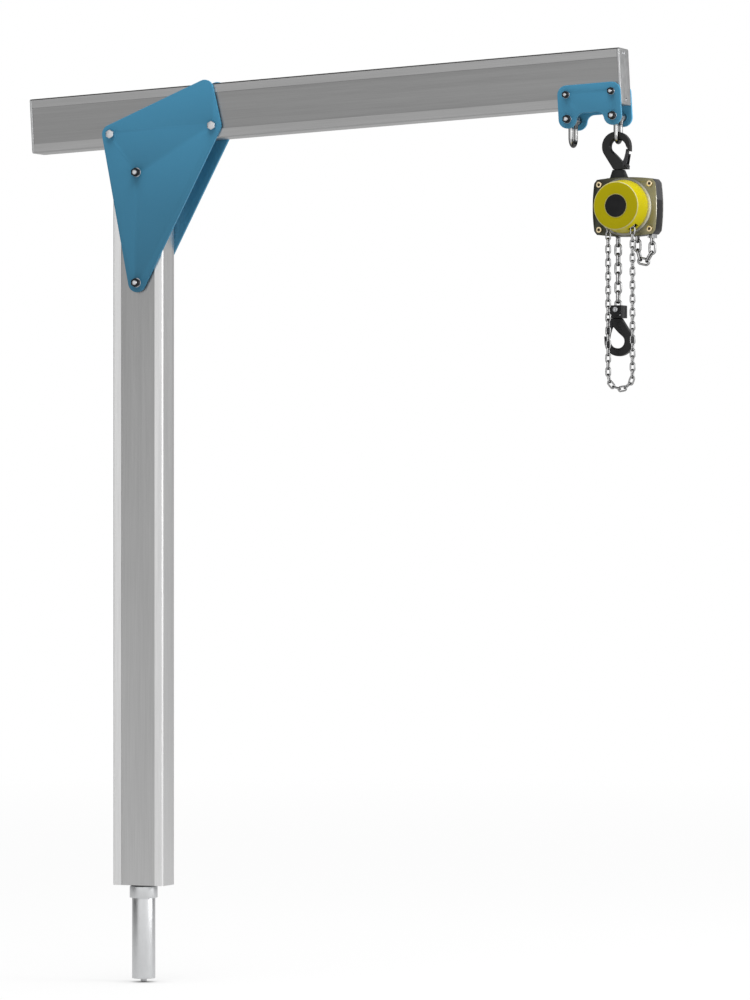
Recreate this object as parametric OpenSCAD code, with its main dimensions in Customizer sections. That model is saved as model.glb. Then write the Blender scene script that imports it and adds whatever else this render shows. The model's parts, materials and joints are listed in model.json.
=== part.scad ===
// Davit crane: an aluminium mast that slews on a spigot, a jib bolted to it
// between two gusset plates, and a hand chain hoist hung from the jib's end.
// The origin is on the spigot's axis, at the underside of the collar, where
// the crane stands on the rim of its socket. X runs along the jib, Z is up
// and the crane is looked at from -Y.

/* [Mast and jib] */
// Wide side of the aluminium extrusion
profile_w = 150; // [120:1:170]
// Narrow side of the extrusion
profile_t = 80; // [70:1:100]
// Wall of the extrusion
profile_wall = 4; // [3:0.5:6]
// Width of the raised flange strip along each edge
flange_w = 25; // [20:1:35]
// Depth of the web below the flange strips
web_recess = 3; // [1:0.5:4]
// Height of the jib's underside over the collar's underside, at the mast
jib_height = 2071; // [1500:1:2600]
// Upward slope of the jib in degrees
jib_rise = 3.06; // [0:0.02:6]
// Jib length behind the mast's axis, with its end cap
jib_back = 320; // [200:1:500]
// Jib length in front of the mast's axis, with its end cap
jib_front = 1404; // [900:1:1800]
// Thickness of the end caps
cap_t = 6; // [4:1:10]

/* [Spigot and slewing bearing] */
// Outer diameter of the spigot
spigot_d = 64; // [60:1:70]
// Length of the spigot below the collar
spigot_len = 222; // [150:1:300]
// Diameter of the pin under the spigot
foot_pin_d = 17; // [12:1:24]
// Length of the pin under the spigot
foot_pin_len = 10; // [5:1:20]
// Outer diameter of the collar
collar_d = 77; // [74:1:90]
// Height of the collar
collar_h = 32; // [20:1:45]
// Thickness of the plastic thrust washer on the collar
thrust_t = 2.8; // [2:0.1:5]
// Diameter of the spindle in the bushes
spindle_d = 44; // [36:1:46]
// Height of the upper bush's top over the mast's foot
upper_bush_h = 270; // [180:1:400]

/* [Gusset plates] */
// Thickness of a gusset plate and of a bracket plate
plate_t = 8; // [5:0.5:12]
// Radius of the gusset plate's corners
gusset_r = 26; // [22:1:32]
// Distance from the mast's axis to the rear jib bolt
gusset_back = 77; // [60:1:100]
// Distance from the mast's axis to the front jib bolt
gusset_front = 227; // [160:1:300]
// Depth of the upper mast bolt below the jib
gusset_upper = 77; // [60:1:120]
// Depth of the lower mast bolt below the jib
gusset_lower = 380; // [250:1:500]
// Height of the jib bolts over the jib's underside
jib_bolt_z = 34; // [30:1:50]
// Diameter of the gusset bolts
gusset_bolt_d = 14; // [10:1:20]

/* [Hoist bracket] */
// Spacing of the bracket's bolts along the jib
bracket_pitch = 127; // [110:1:160]
// Radius of the bracket's corners and lobes
bracket_r = 25; // [20:1:30]
// Height of the upper bracket bolts over the jib's underside
bracket_up = 35; // [30:1:50]
// Depth of the shackle bolts below the jib's underside
bracket_down = 30; // [26:1:45]
// Diameter of the upper bracket bolts
bracket_bolt_d = 10; // [8:1:14]
// Diameter of the shackle bolts
shackle_bolt_d = 12; // [10:1:14]
// Diameter of the shackles' rod
shackle_rod_d = 12; // [8:0.5:13]
// Spacing of a shackle's two legs over its bow
shackle_gap = 40; // [36:1:50]
// Distance from a shackle's bolt to the middle of its bow
shackle_drop = 68; // [55:1:90]

/* [Hooks] */
// Outer radius of a hook's bowl
hook_outer_r = 39.5; // [36:0.5:46]
// Inner radius of a hook's opening
hook_inner_r = 21.5; // [18:0.5:24]
// Thickness of a hook
hook_t = 20; // [16:1:24]
// Distance from the middle of the rod in the bowl to the hook's base
hook_len = 73.2; // [66:0.2:90]

/* [Chain hoist] */
// Turn of the hoist about its hook, in degrees
hoist_yaw = -4; // [-90:1:90]
// Depth of the hoist's axis below the top hook's base
hoist_drop = 100.5; // [98:0.5:110]
// Width of the hoist's housing across the middle
housing_w = 184; // [176:1:200]
// Height of the hoist's housing across the middle
housing_h = 157; // [152:1:166]
// Outward bulge of each side of the housing
housing_bulge = 7; // [3:1:12]
// Depth of the housing between its side plates
housing_d = 42; // [40:1:60]
// Radius of the load chain's run on the sheave
sheave_r = 28; // [26:1:32]
// Radius of the hand wheel cover at its front
cover_front_r = 62; // [58:1:66]
// Radius of the hand wheel cover at its rear
cover_rear_r = 71; // [68:0.5:72]
// Depth of the hand wheel cover
cover_d = 60; // [54:1:70]
// Radius of the hand chain's run on the hand wheel
wheel_r = 46; // [42:1:47]

/* [Chains] */
// Pitch of the load chain
load_pitch = 25; // [24:0.5:27]
// Wire diameter of the load chain
load_wire = 6; // [5:0.5:6.5]
// Width of a load chain link
load_width = 22; // [21:0.5:23]
// Number of links in the load chain
load_links = 24; // [22:2:28]
// Pitch of the hand chain
hand_pitch = 18; // [17:0.5:20]
// Wire diameter of the hand chain
hand_wire = 4.5; // [4:0.1:5]
// Width of a hand chain link
hand_width = 16.5; // [15:0.5:17]
// Distance from the hand chain's strands to the hand wheel's axis
hand_spread = 35; // [32:1:38]
// Drop of the hand chain below the hand wheel's axis
hand_drop = 485; // [300:1:900]

/* [Load hook] */
// Distance from the hoist's axis down to the load block's pin
block_drop = 272; // [262:1:330]

/* [Hidden] */

$fn = 64;
steel = "#c9cbcd";
bright = "#e4e6e8";
black_steel = "#262626";
aluminium = "#a9aaab";
blue = "#40809f";
yellow = "#c9c015";
grey_case = "#4a4744";
gold = "#b9a06a";
run_gap = 0.05;     // radial clearance of a shaft or pin in its bore
part_gap = 0.3;     // clearance between pieces that move past each other
bolt_gap = 0.25;    // radial clearance of a bolt in its hole
chamfer = 3.5;      // corner chamfer of the extrusion
port_in = 13;       // distance of a screw port from the extrusion's wide end
port_r = 6.5;
port_bore = 2.6;
washer_t = 2.5;
half_t = profile_t / 2;
plate_y = half_t + plate_t;
mast_foot = collar_h + thrust_t + 0.2;
mast_cap_t = 4;
mast_top = jib_height - profile_w / 2 * tan(jib_rise) - 3 - mast_cap_t;
spindle_root = spigot_d / 2 - 7;
upper_bush_top = mast_foot + upper_bush_h;
bush_h = 15;
bush_r = spindle_d / 2 + 6;
inner_half = half_t - web_recess - profile_wall;
plug_w = profile_w - 2 * (port_in + port_r + 1.5);
thread_r = 14;
retain_t = 5;

// Place in the object's frame of a point given along and above the jib's underside
function on_jib(x, z) = [x * cos(jib_rise) - z * sin(jib_rise),
    jib_height + x * sin(jib_rise) + z * cos(jib_rise)];

gusset_points = [[0, jib_height - gusset_lower], on_jib(gusset_front, jib_bolt_z),
    on_jib(gusset_front - 18, profile_w - 15), on_jib(-gusset_back, jib_bolt_z)];
jib_bolt_points = [on_jib(-gusset_back, jib_bolt_z), on_jib(gusset_front, jib_bolt_z)];
mast_bolt_points = [[0, jib_height - gusset_upper], [0, jib_height - gusset_lower]];
outer_bolt_x = jib_front - bracket_r + 0.5;
inner_bolt_x = outer_bolt_x - bracket_pitch;
upper_bracket_points = [for (x = [inner_bolt_x, outer_bolt_x]) on_jib(x, bracket_up)];
shackle_points = [for (x = [inner_bolt_x, outer_bolt_x]) on_jib(x, -bracket_down)];
arch_top = 13;      // height of the bracket's arch over the shackle bolts
arch_r = 20;        // radius of the hollow curves at the arch's ends

// The hoist hangs plumb under the outer shackle
hook_x = shackle_points[1][0];
rod_z = shackle_points[1][1] - shackle_drop;
hook_base_z = rod_z - hook_len;
axis_z = hook_base_z - hoist_drop;
axis_x = sheave_r;
front_y = -housing_d / 2;
side_t = 3;
shell_wall = 3;
cover_back = front_y - side_t - 0.3;
cover_front = cover_back - cover_d;
wheel_y = front_y - 31;
stay_x = housing_w / 2 - 19.5;
stay_z = housing_h / 2 - 18.5;

// A hole or a rod along Y from y0 to y1 at [x, z]
module along_y(p, r, y0, y1) {
    translate([p[0], y1, p[1]]) rotate([90, 0, 0]) cylinder(r = r, h = y1 - y0);
}

// A hexagon along Y from y0 to y1 with its width across flats
module hex_y(p, flats, y0, y1) {
    translate([p[0], y1, p[1]]) rotate([90, 30, 0])
        cylinder(r = flats / 2 / cos(30), h = y1 - y0, $fn = 6);
}

// A profile in the X-Z plane, given thickness along Y
module slab(y0, y1) {
    translate([0, y1, 0]) rotate([90, 0, 0]) linear_extrude(y1 - y0) children();
}

// A solid of revolution about the line along Y through [x, z];
// its outline is drawn as [radius, y]
module turned_y(p) {
    translate([p[0], 0, p[1]]) rotate([-90, 0, 0]) rotate_extrude() children();
}

// A polygon given in anticlockwise order, grown by r with true arcs at its corners
module round_polygon(points, r) {
    n = len(points);
    function normal(a, b) = [b[1] - a[1], a[0] - b[0]] / norm(b - a);
    polygon([for (i = [0 : n - 1])
        let (a = points[(i + n - 1) % n], p = points[i], b = points[(i + 1) % n])
        each [p + r * normal(a, p), p + r * normal(p, b)]]);
    for (p = points) translate(p) circle(r = r);
}

module in_jib() {
    translate([0, 0, jib_height]) rotate([0, -jib_rise, 0]) children();
}

module in_hoist() {
    translate([hook_x, 0, 0]) rotate([0, 0, hoist_yaw]) children();
}

// Outline of the extrusion with chamfered corners, wide side along X
module outline_2d() {
    w = profile_w / 2;
    t = half_t;
    c = chamfer;
    polygon([[w - c, -t], [w, -t + c], [w, t - c], [w - c, t],
        [-w + c, t], [-w, t - c], [-w, -t + c], [-w + c, -t]]);
}

module profile_2d() {
    w = profile_w / 2;
    difference() {
        outline_2d();
        for (s = [-1, 1]) translate([-w + flange_w, s * half_t - web_recess])
            square([profile_w - 2 * flange_w, 2 * web_recess]);
        difference() {
            translate([-w + profile_wall, -inner_half])
                square([profile_w - 2 * profile_wall, 2 * inner_half]);
            for (s = [-1, 1]) {
                translate([s * (w - port_in), 0]) circle(r = port_r);
                translate([s * (w - port_in / 2) - port_in / 2, -3]) square([port_in, 6]);
            }
        }
        for (s = [-1, 1]) translate([s * (w - port_in), 0]) circle(r = port_bore);
    }
}

// The spigot's turned-down top goes into the collar, which is relieved round it
seat_h = 8;
seat_r = spigot_d / 2 - 3;
relief = 1;

module spigot_tube() {
    color(steel) difference() {
        union() {
            translate([0, 0, -spigot_len]) cylinder(d = spigot_d, h = spigot_len);
            translate([0, 0, -1]) cylinder(r = seat_r, h = seat_h + 1);
        }
        translate([0, 0, -spigot_len - 1])
            cylinder(r = spindle_root, h = spigot_len + seat_h + 2);
    }
}

module foot_pin() {
    plug_h = 18;
    color(steel) {
        translate([0, 0, -spigot_len]) cylinder(r = spindle_root, h = plug_h);
        translate([0, 0, -spigot_len - foot_pin_len + 1.5])
            cylinder(d = foot_pin_d, h = foot_pin_len);
        translate([0, 0, -spigot_len - foot_pin_len])
            cylinder(d1 = foot_pin_d - 3, d2 = foot_pin_d, h = 1.5);
    }
}

module spindle() {
    root_len = 90;
    color(steel) {
        translate([0, 0, -root_len]) cylinder(r = spindle_root, h = root_len + seat_h);
        cylinder(d = spindle_d, h = upper_bush_top + part_gap);
        cylinder(r = thread_r, h = upper_bush_top + retain_t + 30);
    }
}

module spigot_collar() {
    edge = 1.5;
    color(steel) difference() {
        union() {
            cylinder(d = collar_d, h = collar_h - edge);
            translate([0, 0, collar_h - edge])
                cylinder(d1 = collar_d, d2 = collar_d - 2 * edge, h = edge);
        }
        translate([0, 0, -1]) cylinder(d = spindle_d, h = collar_h + 2);
        translate([0, 0, -1]) cylinder(r = seat_r + part_gap, h = seat_h + 1);
        translate([0, 0, -1]) cylinder(d = spigot_d + 2 * part_gap, h = relief + 1);
    }
}

module thrust_washer() {
    color(black_steel) difference() {
        translate([0, 0, collar_h]) cylinder(d = collar_d - 5, h = thrust_t);
        translate([0, 0, collar_h - 1]) cylinder(d = spindle_d + 0.6, h = thrust_t + 2);
    }
}

module retaining_washer() {
    color(steel) difference() {
        translate([0, 0, upper_bush_top + part_gap]) cylinder(r = bush_r + 4, h = retain_t);
        translate([0, 0, upper_bush_top]) cylinder(r = thread_r, h = retain_t + 2);
    }
}

module retaining_nut() {
    nut_h = 20;
    z = upper_bush_top + part_gap + retain_t;
    color(steel) difference() {
        translate([0, 0, z]) cylinder(r = 41 / 2 / cos(30), h = nut_h, $fn = 6);
        translate([0, 0, z - 1]) cylinder(r = thread_r, h = nut_h + 2);
    }
}

module bush(z) {
    difference() {
        translate([0, 0, z]) cylinder(r = bush_r, h = bush_h);
        translate([0, 0, z - 1]) cylinder(r = spindle_d / 2 + run_gap, h = bush_h + 2);
    }
}

module slewing_bushes() {
    color("#8a7448") for (z = [mast_foot, upper_bush_top - bush_h]) bush(z);
}

// A plate across the inside of the mast that holds a bush
module bush_plate(z) {
    difference() {
        translate([-plug_w / 2, -inner_half, z]) cube([plug_w, 2 * inner_half, bush_h]);
        translate([0, 0, z - 1]) cylinder(r = bush_r, h = bush_h + 2);
    }
}

module mast_foot_plate() {
    color(aluminium) bush_plate(mast_foot);
}

module bearing_plate() {
    color(aluminium) bush_plate(upper_bush_top - bush_h);
}

module mast_profile() {
    color(aluminium) difference() {
        translate([0, 0, mast_foot]) linear_extrude(mast_top - mast_foot) profile_2d();
        for (p = mast_bolt_points) along_y(p, gusset_bolt_d / 2 + bolt_gap, -half_t - 1, half_t + 1);
    }
}

module mast_cap() {
    color(aluminium) translate([0, 0, mast_top]) linear_extrude(mast_cap_t) outline_2d();
}

module gusset_plate(y0) {
    color(blue) difference() {
        slab(y0, y0 + plate_t) round_polygon(gusset_points, gusset_r);
        for (p = concat(jib_bolt_points, mast_bolt_points))
            along_y(p, gusset_bolt_d / 2 + bolt_gap, y0 - 1, y0 + plate_t + 1);
    }
}

module gusset_front_plate() {
    gusset_plate(-plate_y);
}

module gusset_rear_plate() {
    gusset_plate(half_t);
}

gusset_flats = 22;
gusset_head = 9;
gusset_nut = 11.5;
bolt_end = 4;       // length of thread past a nut

// A bolt along Y: its head on the plate on one side, its thread out past the nut on the other;
// front is -1 for a head on the front plate and 1 for a head on the rear one
module through_bolt(p, d, flats, head, nut, front) {
    mirror([0, front > 0 ? 1 : 0, 0]) {
        hex_y(p, flats, -plate_y - head, -plate_y);
        along_y(p, d / 2, -plate_y - 1, plate_y + washer_t + nut + bolt_end - 1.5);
        translate([p[0], plate_y + washer_t + nut + bolt_end - 1.5, p[1]]) rotate([-90, 0, 0])
            cylinder(r1 = d / 2, r2 = d / 2 - 1.5, h = 1.5);
    }
}

module nut_y(p, d, flats, nut, side) {
    mirror([0, side < 0 ? 1 : 0, 0]) difference() {
        hex_y(p, flats, plate_y + washer_t, plate_y + washer_t + nut);
        along_y(p, d / 2, plate_y, plate_y + washer_t + nut + 1);
    }
}

module washer_y(p, d, outer_r, side) {
    mirror([0, side < 0 ? 1 : 0, 0]) difference() {
        along_y(p, outer_r, plate_y, plate_y + washer_t);
        along_y(p, d / 2 + bolt_gap, plate_y - 1, plate_y + washer_t + 1);
    }
}

module gusset_jib_bolts() {
    color(bright) for (p = jib_bolt_points)
        through_bolt(p, gusset_bolt_d, gusset_flats, gusset_head, gusset_nut, -1);
}

module gusset_mast_bolts() {
    color(bright) for (p = mast_bolt_points)
        through_bolt(p, gusset_bolt_d, gusset_flats, gusset_head, gusset_nut, 1);
}

module gusset_nuts() {
    color(black_steel) {
        for (p = jib_bolt_points) nut_y(p, gusset_bolt_d, gusset_flats, gusset_nut, 1);
        for (p = mast_bolt_points) nut_y(p, gusset_bolt_d, gusset_flats, gusset_nut, -1);
    }
}

module gusset_washers() {
    color(black_steel) {
        for (p = jib_bolt_points) washer_y(p, gusset_bolt_d, gusset_bolt_d / 2 + 6, 1);
        for (p = mast_bolt_points) washer_y(p, gusset_bolt_d, gusset_bolt_d / 2 + 6, -1);
    }
}

// Sleeves that keep the bolts from crushing the extrusions
module bolt_sleeves() {
    sleeve_wall = 4;
    color(steel) {
        for (p = concat(jib_bolt_points, mast_bolt_points)) difference() {
            along_y(p, gusset_bolt_d / 2 + sleeve_wall, -inner_half, inner_half);
            along_y(p, gusset_bolt_d / 2 + bolt_gap, -half_t, half_t);
        }
        for (p = upper_bracket_points) difference() {
            along_y(p, bracket_bolt_d / 2 + sleeve_wall, -inner_half, inner_half);
            along_y(p, bracket_bolt_d / 2 + bolt_gap, -half_t, half_t);
        }
    }
}

module jib_profile() {
    color(aluminium) difference() {
        in_jib() translate([-jib_back + cap_t, 0, profile_w / 2]) rotate([90, 0, 90])
            linear_extrude(jib_back + jib_front - 2 * cap_t) rotate(90) profile_2d();
        for (p = jib_bolt_points) along_y(p, gusset_bolt_d / 2 + bolt_gap, -half_t - 1, half_t + 1);
        for (p = upper_bracket_points)
            along_y(p, bracket_bolt_d / 2 + bolt_gap, -half_t - 1, half_t + 1);
    }
}

cap_screw_r = 2.5;
cap_ends = [[-jib_back, 1], [jib_front, -1]];

module jib_end_caps() {
    color(aluminium) in_jib() for (e = cap_ends) difference() {
        translate([e[0] + (e[1] < 0 ? -cap_t : 0), 0, profile_w / 2]) rotate([90, 0, 90])
            linear_extrude(cap_t) rotate(90) outline_2d();
        for (z = [port_in, profile_w - port_in]) translate([e[0] - cap_t - 1, 0, z])
            rotate([0, 90, 0]) cylinder(r = cap_screw_r + bolt_gap, h = 2 * cap_t + 2);
    }
}

module end_cap_screws() {
    screw_len = 26;
    color(bright) in_jib() for (e = cap_ends) for (z = [port_in, profile_w - port_in])
        translate([e[0], 0, z]) rotate([0, 90 * e[1], 0]) {
            cylinder(r = cap_screw_r, h = screw_len);
            translate([0, 0, -3]) cylinder(r1 = 3.5, r2 = 5, h = 3);
        }
}

// The lobe round a shackle bolt, and the hollow curve from it up to the arch
module lobe_2d() {
    hollow = [sqrt(pow(bracket_r + arch_r, 2) - pow(arch_top - arch_r, 2)), arch_top - arch_r];
    circle(r = bracket_r);
    difference() {
        polygon([[0, 0], hollow, [hollow[0], arch_top], [0, arch_top]]);
        translate(hollow) circle(r = arch_r);
    }
}

module bracket_2d() {
    corners = [[inner_bolt_x, -bracket_down], [outer_bolt_x, -bracket_down],
        [outer_bolt_x, bracket_up], [inner_bolt_x, bracket_up]];
    difference() {
        round_polygon(corners, bracket_r);
        difference() {
            translate([inner_bolt_x, -bracket_down - 2 * bracket_r])
                square([bracket_pitch, 2 * bracket_r + arch_top]);
            translate([inner_bolt_x, -bracket_down]) lobe_2d();
            translate([outer_bolt_x, -bracket_down]) mirror([1, 0]) lobe_2d();
        }
    }
}

module bracket_plate(y0) {
    color(blue) difference() {
        in_jib() slab(y0, y0 + plate_t) bracket_2d();
        for (p = upper_bracket_points)
            along_y(p, bracket_bolt_d / 2 + bolt_gap, y0 - 1, y0 + plate_t + 1);
        for (p = shackle_points)
            along_y(p, shackle_bolt_d / 2 + bolt_gap, y0 - 1, y0 + plate_t + 1);
    }
}

module bracket_front_plate() {
    bracket_plate(-plate_y);
}

module bracket_rear_plate() {
    bracket_plate(half_t);
}

bracket_flats = 17;
bracket_nut = 8;
shackle_flats = 19;
shackle_nut = 10;

module bracket_bolts() {
    color(bright) for (p = upper_bracket_points)
        through_bolt(p, bracket_bolt_d, bracket_flats, 6.5, bracket_nut, 1);
}

module bracket_nuts() {
    color(black_steel) for (p = upper_bracket_points) {
        nut_y(p, bracket_bolt_d, bracket_flats, bracket_nut, -1);
        washer_y(p, bracket_bolt_d, bracket_flats / 2 + 1.5, -1);
    }
}

module shackle_bolts() {
    color(bright) for (p = shackle_points)
        through_bolt(p, shackle_bolt_d, shackle_flats, 7.5, shackle_nut, 1);
}

module shackle_nuts() {
    color(black_steel) for (p = shackle_points) {
        nut_y(p, shackle_bolt_d, shackle_flats, shackle_nut, -1);
        washer_y(p, shackle_bolt_d, shackle_flats / 2 + 2, -1);
    }
}

ear_t = 12;
ear_r = 12;
spacer_t = 4;
ear_y = half_t - spacer_t - part_gap - ear_t / 2;
elbow_drop = 24;    // depth below the bolt where a leg bends out towards its ear

module shackle_spacers() {
    y0 = half_t - spacer_t;
    color(steel) for (p = shackle_points) for (s = [0, 1]) mirror([0, s, 0]) difference() {
        along_y(p, shackle_bolt_d / 2 + 5, y0, half_t);
        along_y(p, shackle_bolt_d / 2 + run_gap, y0 - 1, half_t + 1);
    }
}

// A shackle that hangs on its bolt, with its bow across the jib. Its legs
// bend out, at a slight knuckle, to ears close to the bracket's plates
module shackle(p) {
    rod_r = shackle_rod_d / 2;
    bow_r = shackle_gap / 2;
    leg = shackle_drop - bow_r;
    bend = atan2(ear_y - bow_r, elbow_drop);
    color(bright) difference() {
        union() {
            translate([p[0], 0, p[1] - leg]) rotate([90, 0, 90]) rotate([0, 0, 180])
                rotate_extrude(angle = 180) translate([bow_r, 0]) circle(r = rod_r, $fn = 32);
            for (s = [0, 1]) mirror([0, s, 0]) {
                translate([p[0], bow_r, p[1] - leg]) cylinder(r = rod_r, h = leg - elbow_drop);
                translate([p[0], bow_r, p[1] - elbow_drop]) {
                    sphere(r = rod_r + 0.3);
                    rotate([-bend, 0, 0])
                        cylinder(r = rod_r, h = norm([ear_y - bow_r, elbow_drop]));
                }
                along_y(p, ear_r, ear_y - ear_t / 2, ear_y + ear_t / 2);
            }
        }
        along_y(p, shackle_bolt_d / 2 + 2 * run_gap, -half_t, half_t);
    }
}

module inner_shackle() {
    shackle(shackle_points[0]);
}

module outer_shackle() {
    shackle(shackle_points[1]);
}

// The hook is drawn as it hangs by its bowl, with the middle of the rod in
// its bowl at [0, 0] and its base hook_len below
bowl_r = hook_inner_r - 3.5;
bowl_z = -(bowl_r - shackle_rod_d / 2 - part_gap);
limb_from = 215;    // where the limb leaves the outer circle, in degrees
base_left = -11;
base_right = 30;
latch_pivot = [base_right - 8, -hook_len + 8];
latch_end = [base_right, bowl_z - 8];

// The rod lies in the bowl. A wider circle beside it, a straight limb and the
// throat make up the rest of the hook's teardrop opening
module hook_2d() {
    outer_c = [-3.5, bowl_z];
    inner_c = [3.2, bowl_z - 4];
    throat_z = bowl_z - 14;
    tip_x = hook_outer_r - 3.2;
    far = 2 * hook_outer_r;
    function at(c, r, a) = c + r * [cos(a), sin(a)];
    limb_top = at(inner_c, hook_inner_r, 188);
    limb_foot = [base_right - 16, -hook_len + 20];
    difference() {
        union() {
            translate(outer_c) circle(r = hook_outer_r);
            polygon([at(outer_c, hook_outer_r, limb_from), [base_left, -hook_len],
                [base_right, -hook_len], [base_right - 2, -hook_len + 13], limb_foot, limb_top,
                outer_c]);
            polygon([inner_c, [tip_x - 8, throat_z], [tip_x, throat_z],
                at(outer_c, hook_outer_r, 0)]);
            translate(latch_pivot) circle(r = 8);
        }
        difference() {
            union() {
                translate([0, bowl_z]) circle(r = bowl_r);
                translate(inner_c) circle(r = hook_inner_r);
            }
            polygon([limb_top, [-far, limb_top[1]], [-far, -far], [limb_foot[0], -far], limb_foot]);
        }
        polygon([limb_top, limb_foot, [base_right - 2, -hook_len + 17], [far, -hook_len + 17],
            [far, throat_z], [tip_x - 2.5, throat_z], [base_right - 5.3, throat_z + 13], inner_c]);
    }
}

latch_pin_r = 2.5;

// The bowl's inside is rounded to lie in a shackle's bow
module hook_body() {
    saddle_r = shackle_gap / 2 - shackle_rod_d / 2;
    difference() {
        slab(-hook_t / 2, hook_t / 2) hook_2d();
        turned_y([0, bowl_z]) difference() {
            translate([0, -hook_t]) square([bowl_r + saddle_r, 2 * hook_t]);
            translate([bowl_r + saddle_r, 0]) circle(r = saddle_r);
        }
    }
}

// Swivel shank under the hook's base, and the rivet that its latch turns on
module hook_shank(r, len) {
    translate([0, 0, -hook_len - len]) cylinder(r = r, h = len + 4);
    along_y(latch_pivot, latch_pin_r, -hook_t / 2 - 3.5, hook_t / 2 + 3.5);
}

// The latch: a sprung plate inside the hook's tip with a cheek on each side,
// which is broad over the rivet
module hook_latch() {
    run = latch_end - latch_pivot;
    tilt = atan2(run[0], run[1]);
    reach = norm(run);
    cheek_t = 1.8;
    cheek_y = hook_t / 2 + part_gap;
    plate_from = 20;
    translate([latch_pivot[0], 0, latch_pivot[1]]) rotate([0, tilt, 0]) difference() {
        union() {
            translate([-4, -cheek_y - cheek_t, plate_from])
                cube([2.5, 2 * (cheek_y + cheek_t), reach - plate_from]);
            for (s = [0, 1]) mirror([0, s, 0]) {
                slab(cheek_y, cheek_y + cheek_t) polygon([[4, 0], [4, reach - 12],
                    [-4, reach - 12], [-5.5, plate_from], [-9, 8], [-8, 0]]);
                along_y([0, 0], 5, cheek_y, cheek_y + cheek_t);
            }
        }
        along_y([0, 0], latch_pin_r + run_gap, -hook_t, hook_t);
    }
}

module at_top_hook() {
    translate([hook_x, 0, rod_z]) children();
}

shank_r = 9;
nut_r = 12;
nut_h = 12;
yoke_floor = 36;    // depth of the nut seat below the hook's base
shank_len = yoke_floor + part_gap + nut_h;

module top_hook() {
    color(black_steel) at_top_hook() {
        hook_body();
        hook_shank(shank_r, shank_len);
    }
}

module top_hook_nut() {
    z = hook_base_z - yoke_floor - part_gap - nut_h;
    color(steel) difference() {
        translate([hook_x, 0, z]) cylinder(r = nut_r, h = nut_h);
        translate([hook_x, 0, z - 1]) cylinder(r = shank_r, h = nut_h + 2);
    }
}

module top_latch() {
    color("#3a3a3a") at_top_hook() hook_latch();
}

yoke_y = housing_d / 2 - 0.5;
yoke_half = 26;
yoke_bottom = hook_base_z - 57;
housing_top = axis_z + housing_h / 2;
pin_points = [for (s = [-1, 1]) [s * 19, hook_base_z - 43]];
suspension_r = 5;

module hook_yoke() {
    top = hook_base_z - 0.8;
    neck = housing_top - 1;
    color("#33312f") in_hoist() difference() {
        union() {
            slab(-12, 12) polygon([[-20, neck], [yoke_half, neck], [16, top], [-12, top]]);
            translate([-yoke_half, -yoke_y, yoke_bottom])
                cube([2 * yoke_half, 2 * yoke_y, neck - 5 - yoke_bottom]);
            translate([-yoke_half, -19, neck - 6]) cube([2 * yoke_half, 38, 6]);
        }
        translate([0, 0, yoke_bottom]) cylinder(r = shank_r + run_gap, h = top - yoke_bottom + 1);
        translate([0, 0, yoke_bottom - 1])
            cylinder(r = nut_r + 0.5, h = hook_base_z - yoke_floor - yoke_bottom + 1);
        for (p = pin_points) along_y(p, suspension_r, -yoke_y - 1, yoke_y + 1);
    }
}

module suspension_pins() {
    color(steel) in_hoist() for (p = pin_points)
        along_y(p, suspension_r, -housing_d / 2 - side_t, housing_d / 2 + side_t);
}

// Outline of the housing: four bulging sides and eased corners
module housing_2d(inset) {
    w = housing_w / 2 - inset;
    h = housing_h / 2 - inset;
    b = housing_bulge;
    side_r = (h * h + b * b) / (2 * b);
    end_r = (w * w + b * b) / (2 * b);
    corner = norm([w - b, h - b]) - 3;
    translate([axis_x, axis_z]) intersection() {
        intersection() {
            translate([w - side_r, 0]) circle(r = side_r, $fn = 256);
            translate([side_r - w, 0]) circle(r = side_r, $fn = 256);
        }
        intersection() {
            translate([0, h - end_r]) circle(r = end_r, $fn = 256);
            translate([0, end_r - h]) circle(r = end_r, $fn = 256);
        }
        circle(r = corner, $fn = 128);
    }
}

bearing_r = 21;
stay_points = [for (i = [-1, 1]) for (j = [-1, 1]) [axis_x + i * stay_x, axis_z + j * stay_z]];
stay_r = 5;
counter_reach = 28.5;   // distance of the counter shafts from the sheave's axis
counter_r = 4;

module side_plate(y0) {
    difference() {
        slab(y0, y0 + side_t) housing_2d(0);
        along_y([axis_x, axis_z], bearing_r, y0 - 1, y0 + side_t + 1);
        for (p = stay_points) along_y(p, stay_r, y0 - 1, y0 + side_t + 1);
        for (p = pin_points) along_y(p, suspension_r, y0 - 1, y0 + side_t + 1);
    }
}

pawl_pivot = [axis_x - 38, axis_z + 33];
pawl_pin_r = 4;

module housing_front_plate() {
    y0 = front_y - side_t;
    color(grey_case) in_hoist() difference() {
        side_plate(y0);
        along_y(pawl_pivot, pawl_pin_r + run_gap, y0 - 1, y0 + side_t + 1);
    }
}

module housing_rear_plate() {
    y0 = housing_d / 2;
    color(grey_case) in_hoist() difference() {
        side_plate(y0);
        for (s = [-1, 1]) along_y([axis_x, axis_z + s * counter_reach], counter_r + run_gap,
            y0 - 1, y0 + side_t + 1);
    }
}

anchor_x = 98;      // distance of the chain's dead end from the hook's axis
anchor_z = axis_z - housing_h / 2 + 10;
anchor_pin_r = 3;
cheek_out = 8.5;    // distance of the anchor's outer faces from its middle
strand_gap = 13;    // half width of the housing's slots round the chain

module housing_shell() {
    bottom = axis_z - housing_h / 2;
    color("#5c5854") in_hoist() difference() {
        slab(front_y, -front_y) difference() {
            housing_2d(0);
            housing_2d(shell_wall);
        }
        translate([-yoke_half - 0.5, -yoke_y, housing_top - 20])
            cube([2 * yoke_half + 1, 2 * yoke_y, 30]);
        for (x = [0, 2 * sheave_r]) translate([x - strand_gap, -strand_gap, bottom - 1])
            cube([2 * strand_gap, 2 * strand_gap, 16]);
        translate([anchor_x - cheek_out, -strand_gap, bottom - 1])
            cube([2 * cheek_out, 2 * strand_gap, 16]);
    }
}

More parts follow.
